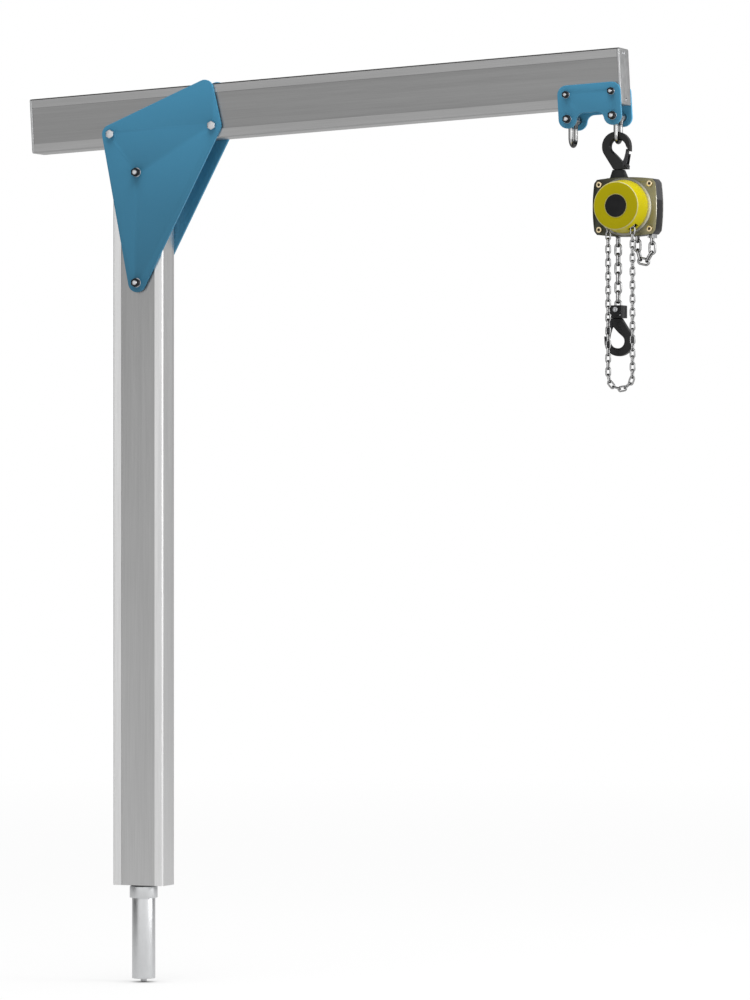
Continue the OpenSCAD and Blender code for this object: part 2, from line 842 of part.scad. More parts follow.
module stay_screws() {
    head_r = 8;
    head_h = 5;
    y0 = front_y - side_t;
    color(gold) in_hoist() for (p = stay_points) difference() {
        union() {
            along_y(p, stay_r, y0, -y0 + 5);
            along_y(p, head_r, y0 - head_h, y0);
            hex_y(p, 13, -y0, -y0 + 5);
        }
        hex_y(p, 7, y0 - head_h - 1, y0 - 1.5);
    }
}

// Radius of the cover's neck, which turns in the ring behind its rim
cover_neck_r = cover_rear_r - 3;

// The ring that the hand wheel cover turns in
module cover_ring() {
    y0 = front_y - side_t;
    outer = cover_neck_r + 9;
    color(bright) in_hoist() turned_y([axis_x, axis_z])
        polygon([[outer, y0], [outer, y0 - 5], [cover_neck_r + 1, y0 - 5],
            [cover_neck_r + 1, y0 - 3.2], [cover_neck_r + 3, y0 - 3.2], [cover_neck_r + 3, y0]]);
}

cover_wall = 2.5;

module chain_cover() {
    b = cover_back;
    f = cover_front;
    lip = cover_neck_r + 2.7;
    w = cover_wall;
    exit_w = 24;    // the hand chain's two slots in the cover's rim
    exit_up = 30;
    color(yellow) in_hoist() difference() {
        turned_y([axis_x, axis_z])
            polygon([[lip, b], [lip, b - 2.5], [cover_neck_r, b - 2.5], [cover_neck_r, b - 6],
                [cover_rear_r, b - 8], [cover_front_r + 2, f + 2], [cover_front_r, f], [0, f],
                [0, f + w], [cover_front_r - w, f + w], [cover_rear_r - w, b - 9],
                [cover_neck_r - w, b - 6], [cover_neck_r - w, b]]);
        for (s = [-1, 1])
            translate([axis_x + s * hand_spread - exit_w / 2, wheel_y - 10, axis_z - cover_rear_r - 1])
                cube([exit_w, 20, cover_rear_r - exit_up]);
    }
}

module cover_disc() {
    disc_r = 30;
    color("#222228") in_hoist()
        along_y([axis_x, axis_z], disc_r, cover_front - 1.2, cover_front);
}

// A chain link, standing in the X-Z plane with its long side along Z
module chain_link(inner_len, width, wire) {
    bend = (width - wire) / 2;
    straight = (inner_len + wire) / 2 - bend;
    for (s = [0, 1]) rotate([0, s * 180, 0]) {
        translate([0, 0, straight]) rotate([90, 0, 0])
            rotate_extrude(angle = 180) translate([bend, 0]) circle(d = wire, $fn = 24);
        translate([bend, 0, -straight]) cylinder(d = wire, h = 2 * straight, $fn = 24);
    }
}

// Lengths along a list of points, up to each of them
function run_list(points, i = 0, s = 0, out = []) = i == len(points) ? out :
    let (next = i == 0 ? 0 : s + norm(points[i] - points[i - 1]))
    run_list(points, i + 1, next, concat(out, [next]));

// A chain's joints lie in the middle of its bends. From joint to joint a face-on link
// is flat_len long, and an edge-on one takes the rest of two pitches.

// Joints of an endless chain spaced out along its route of points [x, z]
function spread_joints(points, pitch, flat_len, count) =
    let (runs = run_list(points),
        xs = [for (i = [0 : len(points) - 1]) [runs[i], points[i][0]]],
        zs = [for (i = [0 : len(points) - 1]) [runs[i], points[i][1]]])
    [for (k = [0 : count]) let (s = k % 2 == 0 ? k * pitch : (k - 1) * pitch + flat_len)
        [lookup(s, xs), lookup(s, zs)]];

// The point on the line from a through b that lies d from p
function point_at(p, d, a, b) = let (v = b - a, w = a - p, k = v * w, n = v * v)
    a + v * (sqrt(k * k - n * (w * w - d * d)) - k) / n;

// Joints of a chain laid out link by link from its first point, past the route's point i
function laid_joints(points, pitch, flat_len, count, i, done) =
    let (p = done[len(done) - 1], d = len(done) % 2 == 1 ? flat_len : 2 * pitch - flat_len)
    len(done) > count ? done :
    i + 2 < len(points) && norm(points[i + 1] - p) < d ?
        laid_joints(points, pitch, flat_len, count, i + 1, done) :
        laid_joints(points, pitch, flat_len, count, i,
            concat(done, [point_at(p, d, points[i], points[i + 1])]));

// Radius on which the edge-on links lie on a wheel that the chain's joints circle at r
function seat_radius(r, pitch, flat_len, wire) = let (half = pitch - flat_len / 2)
    sqrt(r * r - half * half) - wire / 2 - part_gap;

// Links between the joints from number from to number to
module links(joints, inner_len, width, wire, from, to) {
    for (k = [from : to]) {
        a = joints[k];
        b = joints[k + 1];
        mid = (a + b) / 2;
        translate([mid[0], 0, mid[1]]) rotate([0, atan2(b[0] - a[0], b[1] - a[1]), 0])
            rotate([0, 0, k % 2 == 1 ? 90 : 0]) chain_link(inner_len, width, wire);
    }
}

function arc(c, r, a0, a1, steps) =
    [for (i = [0 : steps]) let (a = a0 + (a1 - a0) * i / steps) c + r * [cos(a), sin(a)]];

// The hand chain's loop, from its bottom up the right side, round the wheel and down the left
wheel_c = [axis_x, axis_z];
guide_z = axis_z - 58;
hand_route = concat(
    arc([axis_x, axis_z - hand_drop + hand_spread], hand_spread, -90, 0, 9),
    [[axis_x + hand_spread, guide_z]],
    arc(wheel_c, wheel_r, -10, 190, 40),
    [[axis_x - hand_spread, guide_z]],
    arc([axis_x, axis_z - hand_drop + hand_spread], hand_spread, 180, 270, 9));
hand_run = run_list(hand_route)[len(hand_route) - 1];
hand_links = 2 * round(hand_run / (2 * hand_pitch));
hand_step = hand_run / hand_links;
hand_inner = hand_pitch + 0.4;
hand_flat = hand_pitch - (hand_width - hand_wire) / 2;

module hand_chain() {
    color(bright) in_hoist() translate([0, wheel_y, 0])
        links(spread_joints(hand_route, hand_step, hand_flat, hand_links),
            hand_inner, hand_width, hand_wire, 0, hand_links - 1);
}

wheel_half = 11;    // half the hand wheel's thickness
shaft_r = 7;
shaft_rear_r = 5;

module hand_wheel() {
    slot_r = wheel_r - hand_width / 2 - 2;
    seat_r = seat_radius(wheel_r, hand_pitch, hand_flat, hand_wire);
    rim_r = wheel_r + 4.5;
    half = wheel_half;
    slot = hand_wire / 2 + 0.8;
    seat = hand_width / 2 + 0.6;
    color("#77797b") in_hoist() turned_y([axis_x, axis_z]) translate([0, wheel_y])
        polygon([[shaft_r, -half], [rim_r, -half], [rim_r, -seat], [seat_r, -seat], [seat_r, -slot],
            [slot_r, -slot], [slot_r, slot], [seat_r, slot], [seat_r, seat], [rim_r, seat],
            [rim_r, half], [shaft_r, half]]);
}

gear_m = 1.5;
small_teeth = 10;
large_teeth = 28;

// A gear's outline with straight-sided teeth; turn is the angle of its first tooth
module gear_2d(teeth, turn) {
    pitch_r = gear_m * teeth / 2;
    root = pitch_r - 1.15 * gear_m;
    tip = pitch_r + 0.8 * gear_m;
    step = 360 / teeth;
    polygon([for (i = [0 : teeth - 1]) let (a = turn + i * step)
        each [root * [cos(a - 0.27 * step), sin(a - 0.27 * step)],
            tip * [cos(a - 0.1 * step), sin(a - 0.1 * step)],
            tip * [cos(a + 0.1 * step), sin(a + 0.1 * step)],
            root * [cos(a + 0.27 * step), sin(a + 0.27 * step)]]]);
}

rear_y = housing_d / 2 + side_t;
load_gear_y = rear_y + 5;
pinion_y = rear_y + 19;
gear_w = 9;
case_y = pinion_y + gear_w + 14;
bore_end = case_y - 5;
shaft_end = bore_end - part_gap;

module drive_shaft() {
    wheel_front = wheel_y - wheel_half;
    flange_r = 17;
    p = [axis_x, axis_z];
    color(steel) in_hoist() {
        along_y(p, shaft_r, wheel_front - 7, pinion_y - 1);
        along_y(p, shaft_rear_r, pinion_y - 1, shaft_end);
        slab(pinion_y, pinion_y + gear_w) translate(p) gear_2d(small_teeth, 90);
        along_y(p, flange_r, wheel_front - 4, wheel_front);
    }
}

brake_y = wheel_y + wheel_half + part_gap;
lining_t = 2;
ratchet_t = 3;

// Ratchet disc between two friction discs, on the shaft behind the hand wheel
module ratchet_brake() {
    ratchet_y = brake_y + lining_t;
    teeth = 16;
    step = 360 / teeth;
    root = 31;
    tip = 35;
    lining_r = 27;
    p = [axis_x, axis_z];
    color("#8c6f55") in_hoist() difference() {
        union() {
            slab(ratchet_y, ratchet_y + ratchet_t) translate(p)
                polygon([for (i = [0 : teeth - 1]) let (a = i * step)
                    each [root * [cos(a), sin(a)], tip * [cos(a + 2), sin(a + 2)]]]);
            along_y(p, lining_r, brake_y, ratchet_y);
            along_y(p, lining_r, ratchet_y + ratchet_t, front_y - side_t);
        }
        along_y(p, shaft_r + run_gap, brake_y - 1, front_y);
    }
}

module brake_pawl() {
    ratchet_y = brake_y + lining_t;
    nose = [axis_x - 29, axis_z + 22.5];
    color(steel) in_hoist() {
        along_y(pawl_pivot, pawl_pin_r, ratchet_y - 1, front_y);
        slab(ratchet_y, ratchet_y + ratchet_t) {
            translate(pawl_pivot) circle(r = pawl_pin_r + 2);
            polygon([pawl_pivot + [-2, -5], nose + [-2.5, -0.5], nose + [0, 2.5], pawl_pivot + [4, 4]]);
        }
    }
}

journal_r = 15;

module load_sheave() {
    slot_r = sheave_r - load_width / 2 - 4;
    seat_r = seat_radius(sheave_r, load_pitch, load_flat, load_wire);
    rim_r = sheave_r + 7;
    slot = load_wire / 2 + 0.7;
    seat = load_width / 2 + 0.7;
    flange = seat + 3.5;
    hub_r = 12;
    bore = shaft_r + 0.3;
    front = front_y - side_t;
    gear_end = load_gear_y + gear_w;
    color(steel) in_hoist() {
        turned_y([axis_x, axis_z]) polygon([[bore, front], [journal_r, front], [journal_r, -flange],
            [rim_r, -flange], [rim_r, -seat], [seat_r, -seat], [seat_r, -slot], [slot_r, -slot],
            [slot_r, slot], [seat_r, slot], [seat_r, seat], [rim_r, seat], [rim_r, flange],
            [journal_r, flange], [journal_r, rear_y], [hub_r, rear_y], [hub_r, gear_end],
            [bore, gear_end]]);
        difference() {
            slab(load_gear_y, gear_end) translate([axis_x, axis_z])
                gear_2d(large_teeth, 90 + 180 / large_teeth);
            along_y([axis_x, axis_z], hub_r - 1, load_gear_y - 1, gear_end + 1);
        }
    }
}

// A counter gear: a small and a large gear on one shaft, over or under the sheave's axis
module counter_gear(side) {
    p = [axis_x, axis_z + side * counter_reach];
    color("#8d8f91") in_hoist() {
        along_y(p, counter_r, housing_d / 2, shaft_end);
        slab(load_gear_y - 0.5, load_gear_y + gear_w + 0.5) translate(p)
            gear_2d(small_teeth, -side * 90);
        slab(pinion_y + 0.5, pinion_y + gear_w - 0.5) translate(p)
            gear_2d(large_teeth, -side * 90 + 180 / large_teeth);
    }
}

module upper_counter_gear() {
    counter_gear(1);
}

module lower_counter_gear() {
    counter_gear(-1);
}

module sheave_bearings() {
    width = 5;
    color(bright) in_hoist() for (s = [0, 1]) mirror([0, s, 0]) difference() {
        along_y([axis_x, axis_z], bearing_r, rear_y - width, rear_y);
        along_y([axis_x, axis_z], journal_r + run_gap, rear_y - width - 1, rear_y + 1);
    }
}

module gear_case() {
    case_r = 60;
    wall = 3;
    boss_r = 8;
    boss_y = pinion_y + gear_w + 1;
    p = [axis_x, axis_z];
    color(grey_case) in_hoist() {
        turned_y(p) polygon([[case_r + 6, rear_y], [case_r + 6, rear_y + 4], [case_r, rear_y + 4],
            [case_r, case_y - 6], [case_r - 6, case_y], [0, case_y], [0, case_y - wall],
            [case_r - 6 - wall, case_y - wall], [case_r - wall, case_y - 6 - wall],
            [case_r - wall, rear_y]]);
        difference() {
            for (s = [-1, 0, 1]) along_y([axis_x, axis_z + s * counter_reach], boss_r,
                boss_y, case_y - wall + 0.5);
            for (s = [-1, 1]) along_y([axis_x, axis_z + s * counter_reach], counter_r + run_gap,
                pinion_y, bore_end);
            along_y(p, shaft_rear_r + run_gap, pinion_y, bore_end);
        }
    }
}

// Cheeks and pin that hold the load chain's dead end
module chain_anchor() {
    cheek = 4;
    cheek_h = 16;
    cheek_d = 2 * strand_gap;
    link_end = load_pitch - load_flat / 2 - load_inner / 2;
    z = anchor_z - link_end - part_gap - anchor_pin_r;
    color(steel) in_hoist() {
        for (x = [-cheek_out, cheek_out - cheek])
            translate([anchor_x + x, -cheek_d / 2, z - cheek_h / 2])
                cube([cheek, cheek_d, cheek_h]);
        translate([anchor_x - cheek_out, 0, z]) rotate([0, 90, 0])
            cylinder(r = anchor_pin_r, h = 2 * cheek_out);
    }
}

// The load chain's route: up from the block's pin, over the sheave, and down in a
// slack loop to its dead end. The loop hangs as low as the number of links makes it.
load_inner = load_pitch + 0.4;
load_flat = load_pitch - (load_width - load_wire) / 2;
pin_z = axis_z - block_drop;
loop_r = (anchor_x - 2 * sheave_r) / 2;
function load_route(loop_z) = concat([[0, pin_z]], arc([sheave_r, axis_z], sheave_r, 180, 0, 36),
    arc([2 * sheave_r + loop_r, loop_z], loop_r, 180, 360, 24), [[anchor_x, axis_z]]);
function load_joints(loop_z) =
    laid_joints(load_route(loop_z), load_pitch, load_flat, load_links, 0, [[0, pin_z]]);
function loop_height(z, tries) = tries == 0 ? z :
    loop_height(z + (anchor_z - load_joints(z)[load_links][1]) / 2, tries - 1);
joints = load_joints(loop_height(axis_z - 130, 5));
lift_links = 6;     // links between the block at rest and the block hoisted right up

// The links that rise with the block; hoisted right up, they take the place of the next ones
module load_chain() {
    color(bright) in_hoist() links(joints, load_inner, load_width, load_wire, 0, lift_links - 1);
}

// The links up to the sheave, over it and down in the slack loop
module sheave_chain() {
    color(bright) in_hoist()
        links(joints, load_inner, load_width, load_wire, lift_links, load_links - 1);
}

block_w = 36;
block_t = 40;
block_top = pin_z + 11;
block_bottom = pin_z - 23;
block_pin_r = 4;
block_screws = [for (s = [-1, 1]) [s * 13, pin_z - 15]];
block_screw_r = 2;
half_gap = 0.05;    // half the seam between the block's two halves
hook_nut_r = 10;

module load_block() {
    slot = load_wire / 2 + 0.8;
    floor_z = block_bottom + 4;
    color(black_steel) in_hoist() for (s = [0, 1]) mirror([0, s, 0]) difference() {
        translate([-block_w / 2, half_gap, block_bottom])
            cube([block_w, block_t / 2, block_top - block_bottom]);
        translate([-load_width / 2 - 0.6, -1, pin_z - 11.5])
            cube([load_width + 1.2, slot + 1, 40]);
        translate([-slot, -1, pin_z + 7]) cube([2 * slot, load_width / 2 + 1.6, 20]);
        translate([0, 0, block_bottom - 1]) cylinder(r = 7 + run_gap, h = 10);
        translate([0, 0, floor_z]) cylinder(r = hook_nut_r + 0.5, h = 7.5);
        along_y([0, pin_z], block_pin_r, -1, block_t);
        for (p = block_screws) along_y(p, block_screw_r, -1, block_t);
    }
}

module block_pins() {
    color(bright) in_hoist() {
        along_y([0, pin_z], block_pin_r, -block_t / 2 - half_gap, block_t / 2 + half_gap);
        along_y([0, pin_z], 7, -block_t / 2 - 2, -block_t / 2 - half_gap);
        for (p = block_screws) along_y(p, block_screw_r, -block_t / 2, block_t / 2);
    }
}

module at_load_hook() {
    translate([hook_x, 0, block_bottom - part_gap - hook_len]) rotate([0, 180, 0]) children();
}

module load_hook() {
    nut_from = part_gap + 4 + part_gap;
    color(black_steel) at_load_hook() {
        hook_body();
        hook_shank(7, nut_from);
        translate([0, 0, -hook_len - nut_from - 6]) cylinder(r = hook_nut_r, h = 6);
    }
}

module load_latch() {
    color("#3a3a3a") at_load_hook() hook_latch();
}

spigot_tube();
foot_pin();
spindle();
spigot_collar();
thrust_washer();
retaining_washer();
retaining_nut();
slewing_bushes();
mast_foot_plate();
bearing_plate();
mast_profile();
mast_cap();
gusset_front_plate();
gusset_rear_plate();
gusset_jib_bolts();
gusset_mast_bolts();
gusset_nuts();
gusset_washers();
bolt_sleeves();
jib_profile();
jib_end_caps();
end_cap_screws();
bracket_front_plate();
bracket_rear_plate();
bracket_bolts();
bracket_nuts();
shackle_bolts();
shackle_nuts();
shackle_spacers();
inner_shackle();
outer_shackle();
top_hook();
top_hook_nut();
top_latch();
hook_yoke();
suspension_pins();
housing_front_plate();
housing_rear_plate();
housing_shell();
stay_screws();
cover_ring();
chain_cover();
cover_disc();
hand_chain();
hand_wheel();
drive_shaft();
ratchet_brake();
brake_pawl();
load_sheave();
upper_counter_gear();
lower_counter_gear();
sheave_bearings();
gear_case();
chain_anchor();
load_chain();
sheave_chain();
load_block();
block_pins();
load_hook();
load_latch();
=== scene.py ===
# %% [markdown]
# # A davit crane with a hand chain hoist
# The crane is an aluminium mast that slews on a spigot, an aluminium jib held to it by
# two blue gusset plates, and a small chain hoist that hangs from the jib's end. Its CAD
# model comes in as a fixed frame, in metres, with Z up the mast and X along the jib. This
# notebook gives each piece its finish, and models again the pieces whose real shape is
# softer or finer than the CAD solid, such as forged hooks.

import json
import math

import bmesh
import bpy
import numpy as np
from mathutils import Matrix, Vector


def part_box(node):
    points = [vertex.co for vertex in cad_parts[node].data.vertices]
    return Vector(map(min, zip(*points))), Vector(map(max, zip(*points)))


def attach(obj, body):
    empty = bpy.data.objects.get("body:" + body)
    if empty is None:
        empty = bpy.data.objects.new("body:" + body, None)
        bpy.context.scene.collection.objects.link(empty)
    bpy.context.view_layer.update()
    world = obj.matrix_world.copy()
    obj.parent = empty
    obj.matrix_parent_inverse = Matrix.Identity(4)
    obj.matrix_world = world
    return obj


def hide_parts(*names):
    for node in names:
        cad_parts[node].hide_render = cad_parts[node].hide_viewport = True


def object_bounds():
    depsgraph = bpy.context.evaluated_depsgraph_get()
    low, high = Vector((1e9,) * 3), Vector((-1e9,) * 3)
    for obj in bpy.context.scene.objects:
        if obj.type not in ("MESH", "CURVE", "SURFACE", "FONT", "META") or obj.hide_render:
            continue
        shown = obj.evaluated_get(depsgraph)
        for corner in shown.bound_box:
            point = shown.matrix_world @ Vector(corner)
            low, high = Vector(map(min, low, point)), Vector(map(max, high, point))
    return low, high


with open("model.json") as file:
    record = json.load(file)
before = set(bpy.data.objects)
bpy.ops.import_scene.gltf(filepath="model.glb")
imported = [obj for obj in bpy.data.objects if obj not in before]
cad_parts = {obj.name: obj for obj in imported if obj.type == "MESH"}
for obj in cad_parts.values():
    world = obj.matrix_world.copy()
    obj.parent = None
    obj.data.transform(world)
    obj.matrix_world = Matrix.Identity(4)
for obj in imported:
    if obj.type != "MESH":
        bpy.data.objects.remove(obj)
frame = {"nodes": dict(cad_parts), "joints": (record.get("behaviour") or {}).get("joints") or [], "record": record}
nodes = frame["nodes"]
cad_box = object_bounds()
mm = 0.001
print("pieces:", len(nodes), "box in metres:", [tuple(round(c, 3) for c in p) for p in cad_box])

# %% [markdown]
# ## Camera
# The photograph was taken level, from about 15 m away with a long lens, turned about 21
# degrees to the right of the crane's front. A long lens keeps the mast's edges almost
# parallel. The numbers come from fitting the photograph's edges to the crane's sizes,
# which is surer than turning the camera by eye until the outlines agree.

# %% Place the camera
view_turn = math.radians(21.37)
camera_distance = 14.853
camera_side = 0.6371
camera_height = 1.0943
right = Vector((math.cos(view_turn), math.sin(view_turn), 0))
ahead = Vector((-math.sin(view_turn), math.cos(view_turn), 0))
bpy.ops.object.camera_add()
camera = bpy.context.object
camera.location = right * camera_side - ahead * camera_distance + Vector((0, 0, camera_height))
camera.rotation_euler = (math.pi / 2, 0, view_turn)
camera.data.sensor_width = 36
camera.data.lens = 194.13
camera.data.clip_end = 200
bpy.context.scene.camera = camera
print("camera at", [round(c, 3) for c in camera.location])

# %% [markdown]
# ## Shader nodes
# The world, the floor and every finish are made of shader nodes. A few small helpers keep
# what follows short: they add a node, fill a colour ramp, multiply two colours and write
# a grey. A Mix node has sockets for numbers, vectors and colours under the same names, so
# the colour ones are reached by their place in the list.

# %% Tools for shader nodes
mix_factor, mix_a, mix_b, mix_result = 0, 6, 7, 2

def add_node(tree, kind, **sockets):
    """A new shader node, with values for its inputs given by their names."""
    node = tree.nodes.new("ShaderNode" + kind)
    for socket, value in sockets.items():
        node.inputs[socket.replace("_", " ").title()].default_value = value
    return node

def set_stops(ramp, stops):
    """Fill a colour ramp; a stop is a place from 0 to 1 and a colour."""
    elements = ramp.color_ramp.elements
    while len(elements) < len(stops):
        elements.new(0.5)
    for element, (at, colour) in zip(elements, stops):
        element.position = at
        element.color = (*colour, 1)

def product(tree, a, b):
    """The product of two colours, each the output of a node."""
    mix = add_node(tree, "Mix")
    mix.data_type = "RGBA"
    mix.blend_type = "MULTIPLY"
    mix.inputs[mix_factor].default_value = 1
    tree.links.new(a, mix.inputs[mix_a])
    tree.links.new(b, mix.inputs[mix_b])
    return mix.outputs[mix_result]

def grey(level):
    """A grey from 0, black, to 1, white."""
    return (level, level, level)

# %% [markdown]
# ## Studio
# The photograph has a white background, a pale floor that fades into it, and soft light
# from above, from the sides and off the floor. Little light comes from the camera's own
# side, which leaves the front faces darker than the edges. Many lamps could give this
# light, but a world that is graded by direction is smooth and easy to tune: each ramp
# says how bright the world is from one end of a direction, -1, to the other, 1.

# %% A world and the tools to grade it
bpy.context.scene.view_settings.view_transform = "Standard"
world = bpy.data.worlds.new("studio")
bpy.context.scene.world = world
world.use_nodes = True
sky = world.node_tree
sky.nodes.clear()
sky_coord = add_node(sky, "TexCoord")

def graded_light(direction, levels):
    """Light whose level follows how far a ray points along a direction."""
    dot = add_node(sky, "VectorMath")
    dot.operation = "DOT_PRODUCT"
    dot.inputs[1].default_value = direction
    span = add_node(sky, "MapRange", from_min=-1, from_max=1)
    ramp = add_node(sky, "ValToRGB")
    set_stops(ramp, [((at + 1) / 2, grey(level)) for at, level in levels])
    sky.links.new(sky_coord.outputs["Generated"], dot.inputs[0])
    sky.links.new(dot.outputs["Value"], span.inputs["Value"])
    sky.links.new(span.outputs["Result"], ramp.inputs[0])
    return ramp.outputs[0]

def background(colour=None):
    """Light of the given colour, or plain white."""
    node = add_node(sky, "Background", color=(1, 1, 1, 1))
    if colour is not None:
        sky.links.new(colour, node.inputs["Color"])
    return node.outputs[0]

def choice(ray, usual, special):
    """One light for the rays of a kind, and the usual light for the others."""
    mix = add_node(sky, "MixShader")
    sky.links.new(ray, mix.inputs[0])
    sky.links.new(usual, mix.inputs[1])
    sky.links.new(special, mix.inputs[2])
    return mix.outputs[0]

print("world:", world.name, "in", bpy.context.scene.view_settings.view_transform, "view")

# %% [markdown]
# The fill is dim behind the camera and bright all round. Bright metal doesn't mirror the
# fill but long white panels with dark gaps between them, darker overhead and with a dark
# wall on the left, because a mirror needs contrast to look like metal. The camera itself
# sees plain white.

# %% Grade the world
up = (0, 0, 1)
fill_ahead = [(-1, 0.23), (-0.5, 0.29), (0.0, 0.75), (1, 0.75)]
panels_ahead = [(-1, 0.90), (-0.56, 0.90), (-0.46, 0.08), (-0.34, 0.08), (-0.26, 1.0), (0.02, 1.0),
                (0.12, 0.06), (0.48, 0.06), (0.64, 0.38), (0.90, 0.38), (0.97, 0.9)]
panels_up = [(-1, 1), (0.45, 1), (0.75, 0.2), (1, 0.2)]
panels_right = [(-1, 0.03), (-0.93, 0.03), (-0.85, 1), (1, 1)]
fill = graded_light(ahead, fill_ahead)
panels = product(sky, graded_light(ahead, panels_ahead), graded_light(up, panels_up))
panels = product(sky, panels, graded_light(right, panels_right))
rays = add_node(sky, "LightPath")
light = choice(rays.outputs["Is Glossy Ray"], background(fill), background(panels))
light = choice(rays.outputs["Is Camera Ray"], light, background())
sky_out = add_node(sky, "OutputWorld")
sky.links.new(light, sky_out.inputs[0])
print("nodes in the world:", len(sky.nodes))

# %% [markdown]
# Two large round lamps add a soft direction to the light, one high in front and one far
# to the right. The top lamp doesn't show in mirrors, where it would be a hard white disc.

# %% Hang two soft lamps
def soft_lamp(name, place, aim, size, power):
    """A round area lamp that points from its place to the aim."""
    bpy.ops.object.light_add(type="AREA", location=place)
    lamp = bpy.context.object
    lamp.name = name
    lamp.data.shape = "DISK"
    lamp.data.size = size
    lamp.data.energy = power
    lamp.rotation_euler = (Vector(aim) - Vector(place)).to_track_quat("-Z", "Y").to_euler()
    return lamp

crane_middle = (0.5, 0, 1.2)
top_lamp = soft_lamp("top_lamp", (0.8, -1.2, 7.0), crane_middle, size=5.0, power=250)
top_lamp.visible_glossy = False
side_lamp = soft_lamp("side_lamp", (7.0, 0.5, 3.0), crane_middle, size=4.0, power=240)
print("lamps:", top_lamp.name, side_lamp.name)

# %% [markdown]
# The floor lies just under the foot pin. It glows nearly white, so that only a faint
# shadow shows, and a darker painted shadow lies right round the pin. With distance it fades
# to the white of the background. Its glow lights the crane less than it shows to the camera.

# %% Lay the floor
def settle():
    """Write the selected pieces' place, turn and scale into their meshes."""
    bpy.ops.object.transform_apply(location=True, rotation=True, scale=True)

floor_z = cad_box[0][2] - 0.5 * mm
floor_radius = 11.0
bpy.ops.mesh.primitive_circle_add(vertices=96, radius=floor_radius, fill_type="NGON",
                                  location=(0, 0, floor_z))
floor = bpy.context.object
floor.name = "studio_floor"
settle()
print("floor at", round(floor_z, 4))

# %% [markdown]
# The floor's material mixes white glow with a dull surface by how far a point lies from
# the mast's axis, and keeps both low near the axis as a painted shadow round the pin. The
# distance runs from 0 to 1 over the floor's radius, so 0.003 of it is a ring of 33 mm
# round the pin.

# %% Tool for the floor's material
def floor_finish(glow_levels, painted_shadow_levels, glow_on_crane):
    """Glow over a dull surface, both given by levels that follow the distance; low levels near the axis paint a
    shadow.
    """
    material = bpy.data.materials.new("floor_with_painted_shadow")
    material.use_nodes = True
    tree = material.node_tree
    tree.nodes.clear()
    coord = add_node(tree, "TexCoord")
    along_floor = add_node(tree, "VectorMath")
    along_floor.operation = "MULTIPLY"
    along_floor.inputs[1].default_value = (1, 1, 0)
    distance = add_node(tree, "VectorMath")
    distance.operation = "LENGTH"
    share = add_node(tree, "Math")
    share.operation = "DIVIDE"
    share.inputs[1].default_value = floor_radius
    glow = add_node(tree, "ValToRGB")
    set_stops(glow, [(at, grey(amount)) for at, amount in glow_levels])
    shade = add_node(tree, "ValToRGB")
    set_stops(shade, [(at, grey(amount)) for at, amount in painted_shadow_levels])
    ray = add_node(tree, "LightPath")
    strength = add_node(tree, "MapRange", to_min=glow_on_crane)
    white = add_node(tree, "Emission")
    dull = add_node(tree, "BsdfDiffuse")
    mix = add_node(tree, "MixShader")
    out = add_node(tree, "OutputMaterial")
    for source, target in (
            (coord.outputs["Object"], along_floor.inputs[0]),
            (along_floor.outputs[0], distance.inputs[0]),
            (distance.outputs["Value"], share.inputs[0]),
            (share.outputs[0], glow.inputs[0]),
            (share.outputs[0], shade.inputs[0]),
            (shade.outputs[0], dull.inputs["Color"]),
            (ray.outputs["Is Camera Ray"], strength.inputs["Value"]),
            (strength.outputs["Result"], white.inputs["Strength"]),
            (glow.outputs[0], mix.inputs[0]),
            (dull.outputs[0], mix.inputs[1]),
            (white.outputs[0], mix.inputs[2]),
            (mix.outputs[0], out.inputs[0])):
        tree.links.new(source, target)
    return material

# %% [markdown]
# The glow is nearly off under the spigot, and the dull surface is painted nearly black
# there, which paints a dark shadow round the pin. The glow jumps to two thirds just past
# the spigot's edge. From there it rises slowly to full white at the floor's edge.

# %% Paint the floor
# painted shadow: the dull surface is nearly black and the glow nearly off round the pin
floor.data.materials.append(floor_finish(
    glow_levels=[(0.0, 0.0), (0.0021, 0.02), (0.0032, 0.64), (0.02, 0.70), (0.10, 0.84), (1.0, 1.0)],
    painted_shadow_levels=[(0.0, 0.01), (0.0021, 0.02), (0.0032, 0.70), (0.006, 0.9)],
    glow_on_crane=0.55))
print("floor's material:", floor.data.materials[0].name)

# %% [markdown]
# ## Finishes
# A flat colour looks like plastic, because every real surface varies a little. Each
# finish here starts from a colour, how metallic it is and how rough. Noise on object
# coordinates then varies the colour and the roughness and gives a fine bump, at the scale
# that the real surface has: drawn lines on an extrusion, the faint orange peel of powder
# coat, the grain of a forging. A picture could be wrapped round each piece, but noise
# needs no unwrapping and stays sharp however close the camera comes.

